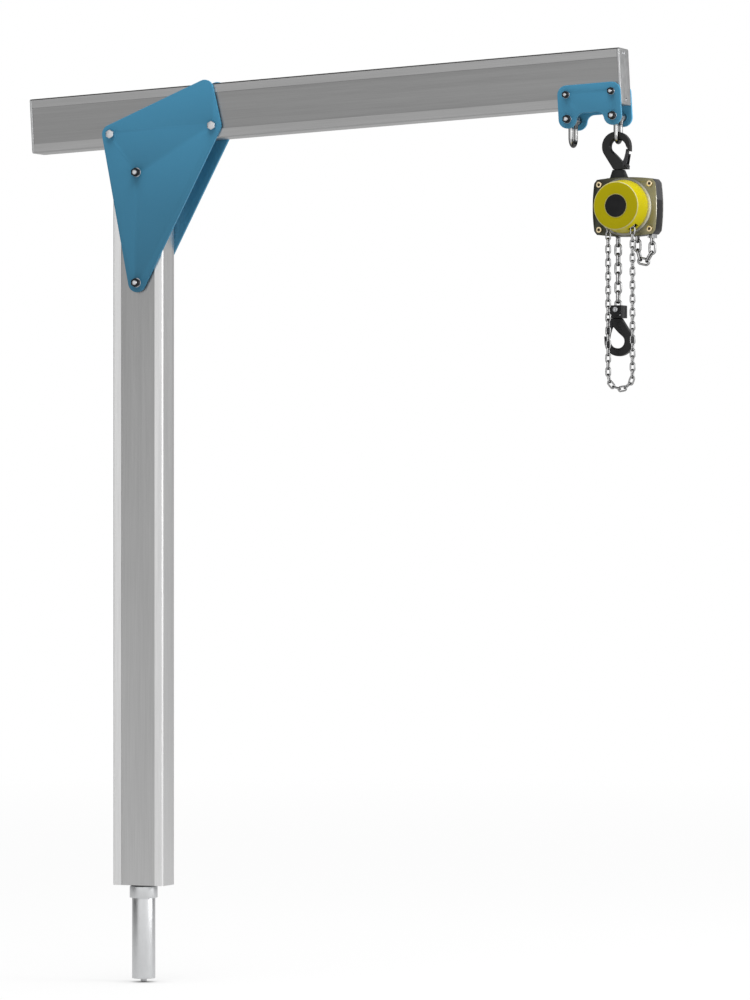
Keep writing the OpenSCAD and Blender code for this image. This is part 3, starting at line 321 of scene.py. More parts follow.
# %% A finish and its nodes
class NodeFinish:
    """A material with one main shader, built node by node."""

    def __init__(self, name, colour, metallic, roughness, gloss=0.5):
        self.material = bpy.data.materials.new(name)
        self.material.use_nodes = True
        self.tree = self.material.node_tree
        self.shader = self.tree.nodes["Principled BSDF"]
        for socket, value in (("Base Color", (*colour, 1)), ("Metallic", metallic),
                              ("Roughness", roughness), ("Specular IOR Level", gloss)):
            self.shader.inputs[socket].default_value = value
        self.place = self.add("TexCoord").outputs["Object"]

    def add(self, kind, **sockets):
        return add_node(self.tree, kind, **sockets)

    def link(self, a, b):
        self.tree.links.new(a, b)

    def colour_from(self, source):
        self.link(source, self.shader.inputs["Base Color"])

    def measure(self, operation, vector, other=(0, 0, 0)):
        """A vector operation on a node's output and a constant; some give a number."""
        node = self.add("VectorMath")
        node.operation = operation
        node.inputs[1].default_value = other
        self.link(vector, node.inputs[0])
        return node.outputs["Value" if operation in ("DOT_PRODUCT", "LENGTH") else "Vector"]

    def step(self, value, low, high):
        """A number that rises from 0 to 1 as the value goes from low to high."""
        span = self.add("MapRange", from_min=low, from_max=high)
        self.link(value, span.inputs["Value"])
        return span.outputs[0]

    def mixed(self, factor, a, b):
        """A colour between a and b, each a colour or another node's output."""
        mix = self.add("Mix")
        mix.data_type = "RGBA"
        self.link(factor, mix.inputs[mix_factor])
        for socket, colour in ((mix.inputs[mix_a], a), (mix.inputs[mix_b], b)):
            if isinstance(colour, tuple):
                socket.default_value = (*colour, 1)
            else:
                self.link(colour, socket)
        return mix.outputs[mix_result]

    def ramp(self, factor, stops):
        """A colour that follows a factor from 0 to 1."""
        ramp = self.add("ValToRGB")
        set_stops(ramp, stops)
        self.link(factor, ramp.inputs[0])
        return ramp.outputs[0]

# %% [markdown]
# The patterns read the piece's own coordinates, so a scale is in waves per metre and a
# place is in metres. Noise can be drawn out along an axis, which turns its spots into the
# long lines that a die leaves on an extrusion. Most of its values lie between 0.3 and 0.7.

# %% Patterns for a finish
noise_low, noise_high = 0.3, 0.7
cloud_low, cloud_high = 0.35, 0.65

def tint(colour, by):
    """A lighter or darker colour, kept under full white."""
    return tuple(min(1.0, c * by) for c in colour)

class Finish(NodeFinish):
    """A material whose patterns read the piece's own coordinates."""

    def noise(self, scale, detail=3.0, stretch=(1, 1, 1), turn=0.0):
        """Noise drawn out by stretch along axes that are turned about Y."""
        mapping = self.add("Mapping", scale=stretch, rotation=(0, turn, 0))
        mapping.vector_type = "TEXTURE"
        noise = self.add("TexNoise", scale=scale, detail=detail)
        self.link(self.place, mapping.inputs["Vector"])
        self.link(mapping.outputs[0], noise.inputs["Vector"])
        return noise.outputs["Fac"]

    def height(self):
        """How high a point lies, in metres."""
        parts = self.add("SeparateXYZ")
        self.link(self.place, parts.inputs[0])
        return parts.outputs["Z"]

    def off_middle(self, direction, middle):
        """How far a point lies from the middle along a direction, either way."""
        shift = self.add("Math")
        shift.operation = "SUBTRACT"
        shift.inputs[1].default_value = middle
        size = self.add("Math")
        size.operation = "ABSOLUTE"
        self.link(self.measure("DOT_PRODUCT", self.place, direction), shift.inputs[0])
        self.link(shift.outputs[0], size.inputs[0])
        return size.outputs[0]

    def clouded(self, colour, spread, scale):
        """Clouds in the colour, lighter and darker by the spread."""
        clouds = [(cloud_low, tint(colour, 1 - spread)), (cloud_high, tint(colour, 1 + spread))]
        self.colour_from(self.ramp(self.noise(scale), clouds))

    def rough(self, noise, low, high):
        """Roughness from low to high over the usual values of a noise."""
        span = self.add("MapRange", from_min=noise_low, from_max=noise_high, to_min=low, to_max=high)
        self.link(noise, span.inputs["Value"])
        self.link(span.outputs[0], self.shader.inputs["Roughness"])

    def bump(self, noise, distance, strength=0.5):
        """Fine relief that follows a noise; the distance is its height in metres."""
        bump = self.add("Bump", strength=strength, distance=distance)
        self.link(noise, bump.inputs["Height"])
        self.link(bump.outputs[0], self.shader.inputs["Normal"])

# %% [markdown]
# ### Metals
# Turned steel is satin, plated chain is nearly a mirror, and the gold screws have a yellow
# chromate film. Clean metal hardly varies in colour. It varies in gloss, as handling
# leaves it. On the chain's thin wire the colour is painted darker towards the outline, a
# painted reflection of the dark parts of a room in round bright wire.

# %% Metal finishes
def metal_skin(finish, roughness):
    """Uneven gloss and a fine grain."""
    smears = finish.noise(180.0)
    grain = finish.noise(900.0)
    finish.rough(smears, roughness * 0.85, roughness * 1.2)
    finish.bump(grain, 0.03 * mm)

def plain_metal(name, colour, roughness, spread=0.06, metallic=1.0):
    """Metal with faint clouds in its colour."""
    finish = Finish(name, colour, metallic, roughness)
    finish.clouded(colour, spread, 40.0)
    metal_skin(finish, roughness)
    return finish.material

def painted_outline_wire(name, colour, roughness):
    """Bright plate on thin wire, painted darker towards the wire's outline as a painted reflection."""
    bright_to, dark_from = 0.06, 0.26
    dark, darkest = tint(colour, 0.16), tint(colour, 0.05)
    finish = Finish(name, colour, 1.0, roughness)
    # painted reflection: the colour darkens as the wire turns away from the view
    facing = finish.add("LayerWeight", blend=0.5).outputs["Facing"]
    finish.colour_from(finish.ramp(facing, [
        (0.0, colour), (bright_to, colour), (dark_from, dark), (1.0, darkest)]))
    metal_skin(finish, roughness)
    return finish.material

finish_for = {
    "satin_steel": plain_metal("satin_steel", (0.80, 0.81, 0.82), 0.36, spread=0.02),
    "zinc_bolts": plain_metal("zinc_plate", (0.70, 0.71, 0.73), 0.30),
    "chrome": painted_outline_wire("bright_plate_painted_outline", grey(0.66), 0.14),
    "gold_screws": plain_metal("yellow_zinc", (0.90, 0.74, 0.46), 0.20),
    "bush_bronze": plain_metal("bush_bronze", (0.52, 0.37, 0.18), 0.35),
    "friction_lining": plain_metal("brake_lining", (0.30, 0.22, 0.16), 0.6, metallic=0.3),
    "black_nuts": plain_metal("black_oxide", (0.018, 0.018, 0.02), 0.38, metallic=0.4),
    "latch": plain_metal("latch_steel", (0.05, 0.05, 0.054), 0.26, metallic=0.8),
    "aluminium": plain_metal("cut_aluminium", (0.60, 0.605, 0.61), 0.42),
}
print("metals:", list(finish_for))

# %% [markdown]
# ### Extrusions
# Mast and jib are drawn aluminium. Fine lines run along their length. The raised strips
# along both edges are painted brighter and the sunk web between them darker, as painted
# light and shade. The strips could be separate pieces with a finish of their own. On the
# real bar they are one metal, so the material finds them by their distance from the
# section's middle.

# %% Tool for drawn metal
section = 150 * mm
strip_width = 25 * mm

def extrusion(name, strip, web, across, middle, stretch, turn=0.0, floor_light_gain=1.0):
    """Drawn metal with strips painted brighter than the web as painted light; across and middle say where its
    section lies.
    """
    roughness = 0.40
    darker, lighter = 0.95, 1.04
    foot_z, head_z = 0.05, 1.9
    strip_edge = section / 2 - strip_width
    blur = 0.4 * mm
    finish = Finish(name, strip, 1.0, roughness)
    lines = finish.noise(420.0, detail=4.0, stretch=stretch, turn=turn)
    line_tone = finish.step(lines, noise_low, noise_high)
    strips = finish.mixed(line_tone, tint(strip, darker), tint(strip, lighter))
    webs = finish.mixed(line_tone, tint(web, darker), tint(web, lighter))
    # painted light: the web grows lighter towards the foot, for light off the pale floor
    from_foot = finish.step(finish.height(), foot_z, head_z)
    webs = product(finish.tree, webs, finish.mixed(from_foot, grey(floor_light_gain), grey(1.0)))
    # painted light and shade: the strips lighter, the sunk web darker
    on_strip = finish.step(finish.off_middle(across, middle), strip_edge - blur, strip_edge + blur)
    long_clouds = tuple(3 if drawn > 1 else 1 for drawn in stretch)
    clouds = finish.noise(5.0, detail=2.0, stretch=long_clouds, turn=turn)
    dull = finish.mixed(finish.step(clouds, 0.35, 0.75), grey(0.97), grey(1.0))
    finish.colour_from(product(finish.tree, finish.mixed(on_strip, webs, strips), dull))
    finish.rough(finish.noise(60.0, stretch=stretch, turn=turn), roughness * 0.9, roughness * 1.12)
    finish.bump(lines, 0.04 * mm, strength=0.35)
    return finish.material

# %% [markdown]
# The mast runs along Z, and its web is painted lighter towards the foot, as painted light
# from the pale floor. The jib runs along X and rises a little, so its pattern is turned by
# the rise. Its underside crosses the mast's axis 2.071 m up.

# %% Finishes of the mast and the jib
jib_rise = math.radians(3.06)
jib_foot = 2.071
jib_across = (-math.sin(jib_rise), 0, math.cos(jib_rise))
jib_middle = jib_foot * math.cos(jib_rise) + section / 2
mast_finish = extrusion("mast_aluminium", grey(0.95), grey(0.42), across=(1, 0, 0), middle=0.0,
                        stretch=(1, 1, 60), floor_light_gain=1.50)
jib_finish = extrusion("jib_aluminium", grey(0.48), grey(0.36), across=jib_across, middle=jib_middle,
                       stretch=(60, 1, 1), turn=-jib_rise)
print("jib's middle over the origin:", round(jib_middle, 4))

# %% [markdown]
# ### Paint and plastic
# Paint lies over the metal as a skin with its own fine waves. Powder coat has a faint
# orange peel. The hooks have a thin satin black enamel over the uneven skin of a forging,
# which needs a deeper bump. The cover is yellow, and the disc in its middle matt black.

# %% Painted and moulded finishes
cloud_scale = 14.0
smear_scale = 60.0
peel_scale = 260.0
peel_depth = 0.06 * mm

def painted(name, colour, roughness, peel=peel_scale, depth=peel_depth, metallic=0.0,
            spread=0.07, gloss=0.35):
    """Plain paint or plastic; peel and depth are the scale and the height of its skin."""
    finish = Finish(name, colour, metallic, roughness, gloss)
    finish.clouded(colour, spread, cloud_scale)
    finish.rough(finish.noise(smear_scale), roughness * 0.9, roughness * 1.15)
    finish.bump(finish.noise(peel), depth)
    return finish.material

yellow = (0.58, 0.495, 0.002)
finish_for |= {
    "black_hook": painted("black_enamel", (0.012, 0.012, 0.013), 0.33, peel=500.0, depth=0.12 * mm),
    "housing": painted("grey_enamel", (0.22, 0.205, 0.185), 0.34, metallic=0.9),
    "yellow_cover": painted("yellow_enamel", yellow, 0.32, spread=0.02, gloss=0.14),
    "cover_centre": painted("black_centre", (0.008, 0.008, 0.009), 0.6),
    "thrust_plastic": painted("black_plastic", (0.015, 0.015, 0.015), 0.5),
}
print("finishes so far:", len(finish_for))

# %% [markdown]
# ### Plates
# The blue plates are painted a little darker low down and lighter towards the top of the
# crane, as painted light and shade, as they look in the photograph. The rear bracket plate
# is painted lighter again, as painted light that makes up for the shade of the front one.
# The hoist's front plate is painted nearly black on the left and warm on the right, as
# painted shade and light, with a cream painted highlight along its right edge. A ramp
# along one direction gives all of these.

# %% Blue plates and the hoist's front plate
def enamel_skin(finish, tone, smooth, dull):
    """Faint clouds over a tone, an uneven gloss and a fine orange peel."""
    clouds = finish.mixed(finish.noise(cloud_scale), grey(0.97), grey(1.0))
    finish.colour_from(product(finish.tree, tone, clouds))
    finish.rough(finish.noise(smear_scale), smooth, dull)
    finish.bump(finish.noise(peel_scale), peel_depth)

def faded(name, direction, stops, metallic, roughness, gloss):
    """Enamel whose colour changes along a direction; the stops' places are in metres."""
    low, high = stops[0][0], stops[-1][0]
    finish = Finish(name, stops[0][1], metallic, roughness, gloss)
    span = finish.step(finish.measure("DOT_PRODUCT", finish.place, direction), low, high)
    tone = finish.ramp(span, [((at - low) / (high - low), colour) for at, colour in stops])
    enamel_skin(finish, tone, roughness * 0.9, roughness * 1.15)
    return finish.material

blue = (0.062, 0.27, 0.44)
top_light_blue = tint(blue, 1.22)
painted_fill_blue = tint(blue, 1.65)
# painted light and shade: the blue is darker low down and lighter towards the top
finish_for["blue_powder_coat"] = faded("blue_powder_coat", up, [
    (1.68, tint(blue, 0.90)), (1.90, blue), (2.10, top_light_blue), (2.20, top_light_blue)],
    metallic=0.0, roughness=0.45, gloss=0.35)
# painted light: the rear bracket plate is painted lighter to make up for the front plate's shade
rear_blue = faded("blue_rear_bracket_painted_light", up, [(2.10, painted_fill_blue), (2.20, painted_fill_blue)],
                  metallic=0.0, roughness=0.45, gloss=0.35)

plate_left, plate_right = (corner[0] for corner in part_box("housing_front_plate"))
highlight_cream = (0.90, 0.87, 0.76)
highlight_width = 0.8 * mm
# painted shade and light across the plate, and a painted highlight along its right edge
front_plate_painted_light = faded("front_plate_light_and_shade", (1, 0, 0), [
    (plate_left, (0.06, 0.062, 0.05)), (plate_left + 30 * mm, (0.08, 0.08, 0.06)),
    (plate_left + 100 * mm, (0.16, 0.155, 0.10)), (plate_right - 2 * highlight_width, (0.36, 0.33, 0.19)),
    (plate_right - highlight_width, highlight_cream), (plate_right, highlight_cream)],
    metallic=0.9, roughness=0.34, gloss=0.35)
print("hoist's front plate from", round(plate_left, 4), "to", round(plate_right, 4))

# %% [markdown]
# ### Cover and ring
# The hoist hangs swivelled by a few degrees, so its cover doesn't face straight ahead.
# Its joint in the frame says where the cover's axis is. Placing the work by that joint is
# surer than writing the angle again.

# %% Find the cover's axis
cover_joint = next(joint for joint in frame["joints"] if joint["name"] == "cover_turn")
cover_centre = Vector(cover_joint["pos_m"])
cover_axis = Vector(cover_joint["axis"])
swivel = math.atan2(-cover_axis.x, cover_axis.y)
cover_place = Matrix.Translation(cover_centre) @ Matrix.Rotation(swivel, 4, "Z")
print("cover turned by", round(math.degrees(swivel), 3), "degrees at", [round(c, 4) for c in cover_centre])

# %% [markdown]
# The cover's enamel has a pale painted highlight round the front edge and round the black
# disc. The lines follow a point's distance from the axis, which is the length of a cross
# product. The ring behind the cover is a polished band with painted light and shade:
# bright at the side, dull below and dark at the top, so its levels go with the height over
# the axis in millimetres.

# %% Finishes of the cover and the ring
def rim_highlight_enamel(name, colour, highlight_tone, lines):
    """Enamel with rings of painted highlight. A ring's four radii are where its highlight
    begins, is full, is still full and has ended, in millimetres."""
    reach = 100 * mm
    finish = Finish(name, colour, 0.0, 0.32, gloss=0.14)
    from_centre = finish.measure("SUBTRACT", finish.place, cover_centre)
    radius = finish.measure("LENGTH", finish.measure("CROSS_PRODUCT", from_centre, cover_axis))
    tones = (colour, highlight_tone, highlight_tone, colour)
    stops = [(at * mm / reach, tone) for line in lines for at, tone in zip(line, tones)]
    enamel_skin(finish, finish.ramp(finish.step(radius, 0.0, reach), stops), 0.29, 0.37)
    return finish.material

# painted highlight: pale rings round the front edge and round the black disc
cover_finish = rim_highlight_enamel("yellow_enamel_painted_rims", yellow, (0.70, 0.65, 0.30),
                           [(30.2, 30.5, 31.4, 31.8), (61.6, 62.0, 63.6, 64.0)])
ring_tone = (0.97, 0.96, 0.90)
# painted light and shade: bright at the side, dimmer below, dark at the top
ring_painted_light = [(-78, 0.36), (-60, 0.46), (-40, 0.9), (-10, 1.0), (20, 1.0), (50, 0.60), (78, 0.14)]
ring_finish = faded("warm_ring", up, [
    (cover_centre.z + at * mm, tint(ring_tone, level)) for at, level in ring_painted_light],
    metallic=0.4, roughness=0.28, gloss=0.5)
print("made", cover_finish.name, "and", ring_finish.name)

# %% [markdown]
# The hoist's side shell is cast with a crease half way up, and the light catches the part
# above it. In the photograph it shows only as a change of tone, so here it is painted
# light and shade at the crease's height: lighter above, darker below.

# %% Side shell with painted light above its crease
def lit_above_crease(name, below, above, crease_z):
    """Enamel painted darker below a height and lighter above it, as painted shade and light."""
    finish = Finish(name, below, 0.4, 0.42)
    over_crease = finish.step(finish.height(), crease_z - mm, crease_z + mm)
    finish.colour_from(finish.mixed(over_crease, below, above))
    finish.rough(finish.noise(80.0), 0.36, 0.48)
    finish.bump(finish.noise(700.0), 0.08 * mm)
    return finish.material

# painted light and shade: lighter above the crease, darker below it
shell_finish = lit_above_crease("side_shell_painted_light", below=(0.022, 0.022, 0.023),
                       above=(0.085, 0.085, 0.088), crease_z=1.890)
print("made", shell_finish.name)

# %% [markdown]
# ### Finishes on the CAD model
# The record names a material slot for each node. Seven nodes have a finish of their own,
# and the others share their slot's. A node keeps its mesh and only gets a new material.

# %% Put a finish on every CAD node
own_finish = {
    "mast_profile": mast_finish, "jib_profile": jib_finish, "bracket_rear_plate": rear_blue,
    "housing_front_plate": front_plate_painted_light, "housing_shell": shell_finish,
    "cover_ring": ring_finish, "chain_cover": cover_finish,
}
slot_of = {part["node"]: part["material_slot"] for part in frame["record"]["subparts"]}
bodies = frame["record"]["behaviour"]["bodies"]
body_of = {node: body for body, members in bodies.items() for node in members}
for node, slot in slot_of.items():
    mesh = nodes[node].data
    mesh.materials.clear()
    mesh.materials.append(own_finish.get(node, finish_for[slot]))
print("finishes:", len(finish_for) + len(own_finish), "on nodes:", len(slot_of))

# %% [markdown]
# ## Tools for a piece
# A piece that stands for a CAD node takes the node's finish and moves with its body.
# Many pieces start as a copy of the CAD mesh. Its loose triangles are merged first, and
# flat faces become one face again, so that a bevel can run round them.

# %% Tools for making a piece
merge_distance = 0.002 * mm

def select(*objects):
    """Select only these, and make the first one active."""
    bpy.ops.object.select_all(action="DESELECT")
    for one in objects:
        one.select_set(True)
    bpy.context.view_layer.objects.active = objects[0]

def copy_of(node):
    """A copy of a node, with its doubles merged and its flat faces whole."""
    piece = bpy.data.objects.new(node + "_made", nodes[node].data.copy())
    bpy.context.collection.objects.link(piece)
    select(piece)
    bpy.ops.mesh.customdata_custom_splitnormals_clear()
    bpy.ops.object.mode_set(mode="EDIT")
    bpy.ops.mesh.select_all(action="SELECT")
    bpy.ops.mesh.remove_doubles(threshold=merge_distance)
    bpy.ops.mesh.dissolve_limited(angle_limit=math.radians(0.4))
    bpy.ops.object.mode_set(mode="OBJECT")
    return piece

def modify(piece, kind, **settings):
    """Add a modifier and apply it at once."""
    select(piece)
    bpy.ops.object.modifier_add(type=kind)
    modifier = piece.modifiers[-1]
    for name, value in settings.items():
        setattr(modifier, name, value)
    bpy.ops.object.modifier_apply(modifier=modifier.name)

def join(first, *others):
    """Join pieces into the first one."""
    select(first, *others)
    bpy.ops.object.join()
    return first

# %% [markdown]
# A cut or turned edge is never quite sharp. A narrow bevel on every corner over 35
# degrees catches a thin line of light, which shows the eye where a piece ends. The widths
# are in millimetres.

# %% Tools for edges and for a finished piece
sharp_corner = math.radians(35)

def bevel(piece, width, segments=3, clamp=True):
    """Round a piece's sharp corners over a width."""
    modify(piece, "BEVEL", width=width * mm, segments=segments, limit_method="ANGLE",
           angle_limit=sharp_corner, use_clamp_overlap=clamp)

def smooth(piece):
    """Shade a piece smooth, apart from its sharp corners."""
    select(piece)
    bpy.ops.object.shade_smooth_by_angle(angle=sharp_corner)

def ease(node, width, segments=3):
    """A copy of a node with rounded edges."""
    piece = copy_of(node)
    bevel(piece, width, segments, clamp=False)
    smooth(piece)
    return piece

def stands_for(piece, node, finish=None):
    """Finish a piece, let it ride where its node rides, and hide the node."""
    select(piece)
    settle()
    piece.data.materials.clear()
    piece.data.materials.append(finish or own_finish.get(node, finish_for[slot_of[node]]))
    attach(piece, body_of[node])
    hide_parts(node)
    return piece

# %% [markdown]
# ## Plates, collars and castings
# The plates are cut from sheet and painted, so the coat rounds their edges. The turned
# and cast pieces have eased edges too. Bought parts, such as screws, are crisper than
# castings, and so their bevels are narrower.

# %% Ease the edges of plates, turned pieces and castings
eased = {
    "gusset_front_plate": 1.2, "gusset_rear_plate": 1.2, "shackle_spacers": 0.5,
    "bracket_front_plate": 1.4, "bracket_rear_plate": 1.4,
    "jib_end_caps": 0.8, "mast_cap": 0.8, "end_cap_screws": 0.4,
    "spigot_collar": 1.0, "spigot_tube": 0.8, "foot_pin": 0.5,
    "hook_yoke": 1.6, "housing_front_plate": 0.7, "housing_rear_plate": 0.7,
    "housing_shell": 0.6, "gear_case": 1.2, "load_block": 1.6, "block_pins": 0.6,
    "cover_disc": 0.3, "stay_screws": 0.6,
    "top_latch": 0.4, "load_latch": 0.4,
}
for node, width in eased.items():
    stands_for(ease(node, width), node)
print("eased pieces:", len(eased))

# %% [markdown]
# ## Cover and ring
# Both are turned about the hand wheel's axis. A lathe works from a profile, and so does
# this: one circle is drawn out from point to point of the profile, which gives a much
# finer rim than the CAD mesh has. A screw modifier would turn a profile as well, but the
# steps here are the ones a hand would take in edit mode.

# %% Tool for a turned piece
def turned(name, profile, width, steps=160):
    """A body turned about the cover's axis from a closed profile of (radius, y), with
    bevels of a width on its corners."""
    bpy.ops.object.select_all(action="DESELECT")
    bpy.ops.mesh.primitive_circle_add(vertices=steps, radius=profile[0][0], rotation=(math.pi / 2, 0, 0))
    piece = bpy.context.object
    piece.name = name + "_made"
    settle()
    bpy.ops.object.mode_set(mode="EDIT")
    for (r, y), (next_r, next_y) in zip(profile, profile[1:] + profile[:1]):
        bpy.ops.mesh.extrude_region_move()
        bpy.ops.transform.translate(value=(0, next_y - y, 0))
        bpy.ops.transform.resize(value=(next_r / r, 1, next_r / r))
    bpy.ops.mesh.select_all(action="SELECT")
    bpy.ops.mesh.remove_doubles(threshold=merge_distance)
    bpy.ops.mesh.normals_make_consistent(inside=False)
    bpy.ops.object.mode_set(mode="OBJECT")
    piece.matrix_world = cover_place @ Matrix.Translation((0, profile[0][1], 0))
    settle()
    bevel(piece, width)
    return piece

# %% [markdown]
# The cover is a thin shell, wider at the back than at the front, with a neck and a lip
# behind its rim. Its profile runs once round the wall, outside first and then inside. The
# hole left in the middle of its front is under the black disc.

# %% Turn the cover
rear_r = 71 * mm
front_r = 62 * mm
neck_r = rear_r - 3 * mm
lip_r = neck_r + 2.7 * mm
wall = 2.5 * mm
centre_r = 1 * mm
back = -24.3 * mm
front = back - 60 * mm
lip_y = back - 2.5 * mm
neck_y = back - 6 * mm
rim_y = back - 8 * mm
chamfer = 2 * mm
cover = turned("chain_cover", [
    (lip_r, back), (lip_r, lip_y), (neck_r, lip_y), (neck_r, neck_y), (rear_r, rim_y),
    (front_r + chamfer, front + chamfer), (front_r, front), (centre_r, front),
    (centre_r, front + wall), (front_r - wall, front + wall), (rear_r - wall, rim_y - 1 * mm),
    (neck_r - wall, neck_y), (neck_r - wall, back)], width=0.8)
print("cover faces:", len(cover.data.polygons))

# %% [markdown]
# The hand chain comes out through two slots in the cover's underside. Each is cut by a
# plain box, which goes again when its cut is made.

# %% Cut the slots for the hand chain
hand_spread = 35 * mm
chain_y = -52 * mm
slot_middle_z = -51.5 * mm
slot_size = (24 * mm, 20 * mm, 41 * mm)
for side in (-1, 1):
    bpy.ops.mesh.primitive_cube_add(size=1)
    cutter = bpy.context.object
    cutter.matrix_world = (cover_place @ Matrix.Translation((side * hand_spread, chain_y, slot_middle_z))
                           @ Matrix.Diagonal((*slot_size, 1)))
    settle()
    modify(cover, "BOOLEAN", operation="DIFFERENCE", object=cutter, solver="EXACT")
    bpy.data.objects.remove(cutter)
print("cover faces with its slots:", len(cover.data.polygons))

# %% [markdown]
# The ring is fixed to the hoist, and the cover turns in it. The neck runs in its opening,
# and the lip in a wider recess behind that, which keeps the cover from coming off.

# %% Turn the ring
ring_back = -24 * mm
ring_front = ring_back - 5 * mm
recess_front = ring_back - 3.2 * mm
ring_r = neck_r + 9 * mm
opening_r = neck_r + 1 * mm
recess_r = neck_r + 3 * mm
ring = turned("cover_ring", [
    (ring_r, ring_back), (ring_r, ring_front), (opening_r, ring_front),
    (opening_r, recess_front), (recess_r, recess_front), (recess_r, ring_back)], width=0.4)
for piece, node in ((cover, "chain_cover"), (ring, "cover_ring")):
    smooth(piece)
    stands_for(piece, node)
print("ring faces:", len(ring.data.polygons))

# %% [markdown]
# ## Bolts, screws and nuts
# The bolt heads are broad and nearly round at their corners, and each stud ends in a
# dome. A wide bevel in four steps gives both.

# %% Ease the bolts
for node in ("gusset_jib_bolts", "gusset_mast_bolts", "bracket_bolts", "shackle_bolts"):
    bolts = stands_for(ease(node, 1.3, segments=4), node)
    print(node, "faces:", len(bolts.data.polygons))

# %% [markdown]
# A node often holds several loose pieces, such as four screws. To work on each, its
# points are gathered by walking along the edges from one point to the next.

# %% Tools for the loose pieces of a node
def islands(node):
    """The points of each loose piece of a node, in metres."""
    bm = bmesh.new()
    bm.from_mesh(nodes[node].data)
    bmesh.ops.remove_doubles(bm, verts=bm.verts, dist=merge_distance)
    left = set(bm.verts)
    found = []
    for start in bm.verts:
        if start not in left:
            continue
        left.remove(start)
        group = [start]
        for vert in group:
            for edge in vert.link_edges:
                other = edge.other_vert(vert)
                if other in left:
                    left.remove(other)
                    group.append(other)
        found.append([vert.co.copy() for vert in group])
    bm.free()
    return found

def middle_and_half(points):
    """The middle of the points' box, and half its size each way."""
    low = Vector([min(p[k] for p in points) for k in range(3)])
    high = Vector([max(p[k] for p in points) for k in range(3)])
    return (low + high) / 2, (high - low) / 2

print("stay screws:", len(islands("stay_screws")))

# %% [markdown]
# The gold screws have a socket for a key, and hardly any light gets into it. The faces
# near a screw's axis and under its front are the socket's, and they are painted black as
# painted shade.

# %% Blacken the screws' sockets
socket_painted_shade = painted("socket_painted_shade", (0.03, 0.024, 0.016), 0.5)
socket_r = 4.1 * mm
socket_top = 0.8 * mm
socket_end = 5 * mm
screws = bpy.data.objects["stay_screws_made"]
screws.data.materials.append(socket_painted_shade)
# painted shade: the socket's faces get a black material
for points in islands("stay_screws"):
    middle, half = middle_and_half(points)
    for face in screws.data.polygons:
        aside = math.hypot(face.center.x - middle.x, face.center.z - middle.z)
        deep = face.center.y - (middle.y - half.y)
        if aside < socket_r and socket_top < deep < socket_end:
            face.material_index = 1
print("faces in the sockets:", sum(face.material_index for face in screws.data.polygons))

# %% [markdown]
# The black nuts are lock nuts: a hexagon under a rounded collar, which a ring a little
# wider than the stud gives. A zinc washer shows as a thin bright rim under each nut. The
# washers of the bracket are in the nuts' own nodes, as the thin loose pieces. Those of
# the gusset have a node of their own and get a finish and eased edges.

# %% Tools for collars and rims
washer_half_limit = 2 * mm
collar_wire_r = 1.6 * mm

def round_rim(place, radius, wire_r, steps):
    """A ring of round wire about an axis along Y."""
    bpy.ops.mesh.primitive_torus_add(location=place, rotation=(math.pi / 2, 0, 0), major_radius=radius,
                                     minor_radius=wire_r, major_segments=steps, minor_segments=12)
    settle()
    bpy.ops.object.shade_smooth()
    return bpy.context.object

def is_washer(points):
    """A washer is much thinner than a nut."""
    return middle_and_half(points)[1].y < washer_half_limit

def collar_on(nut, radius):
    """A rounded collar on a nut's outer end."""
    middle, half = middle_and_half(nut)
    outer_y = middle.y + math.copysign(half.y, middle.y)
    return round_rim((middle.x, outer_y, middle.z), radius * mm, collar_wire_r, 40)

def rim_of(washer):
    """A bright rim round a washer, as thick as the washer and just proud of it."""
    middle, half = middle_and_half(washer)
    return round_rim(middle, half.x - half.y * 0.9, half.y, 48)

# %% [markdown]
# The nuts' edges are eased first, and then each nut gets its collar. The rims are a piece
# of their own, because they are zinc and the nuts are black.

# %% Dress the nuts and washers
for node, collar_r in (("gusset_nuts", 8.5), ("bracket_nuts", 6.5), ("shackle_nuts", 7.5)):
    nuts = ease(node, 1.1)
    pieces = islands(node)
    collars = [collar_on(points, collar_r) for points in pieces if not is_washer(points)]
    stands_for(join(nuts, *collars), node)
    rims = [rim_of(points) for points in pieces if is_washer(points)]
    if rims:
        rim = join(*rims)
        rim.name = node + "_washer_rims"
        stands_for(rim, node, finish=finish_for["zinc_bolts"])
    print(node, "collars:", len(collars), "washers:", len(rims))
stands_for(ease("gusset_washers", 0.5), "gusset_washers", finish=finish_for["zinc_bolts"])

# %% [markdown]
# ## Hooks
# A forged hook has no sharp edge. It could be modelled afresh as a cage of a few faces
# under a subdivision surface, but the CAD solid already has its outline. So a copy is
# remeshed into small even faces and smoothed, which rounds each edge by a few
# millimetres as the die does.

# %% Forge the two hooks
def forge(node, voxel, rounds):
    """A copy of a node in small even faces, smoothed in a number of rounds."""
    piece = copy_of(node)
    modify(piece, "REMESH", mode="VOXEL", voxel_size=voxel * mm)
    modify(piece, "SMOOTH", factor=0.5, iterations=rounds)
    select(piece)
    bpy.ops.object.shade_smooth()
    return piece

for node in ("top_hook", "load_hook"):
    hook = stands_for(forge(node, 1.0, 14), node)
    print(node, "faces:", len(hook.data.polygons))

# %% [markdown]
# ## Chains
# Each chain is welded round wire. One link is made as a ring that is pulled apart into
# two bends with straight sides, and a small bead marks the weld. The link is then copied
# to the place of every link of the CAD chain. A link's sizes are its length inside, its
# width and its wire, in millimetres. The sheave chain's wire is a hair thinner, so that
# it stays just clear of the load chain where the two meet.

# %% Make a link for each chain
link_sizes = {
    "hand_chain": (18.4, 16.5, 4.5), "load_chain": (25.4, 22.0, 6.0), "sheave_chain": (25.4, 22.0, 5.97),
}

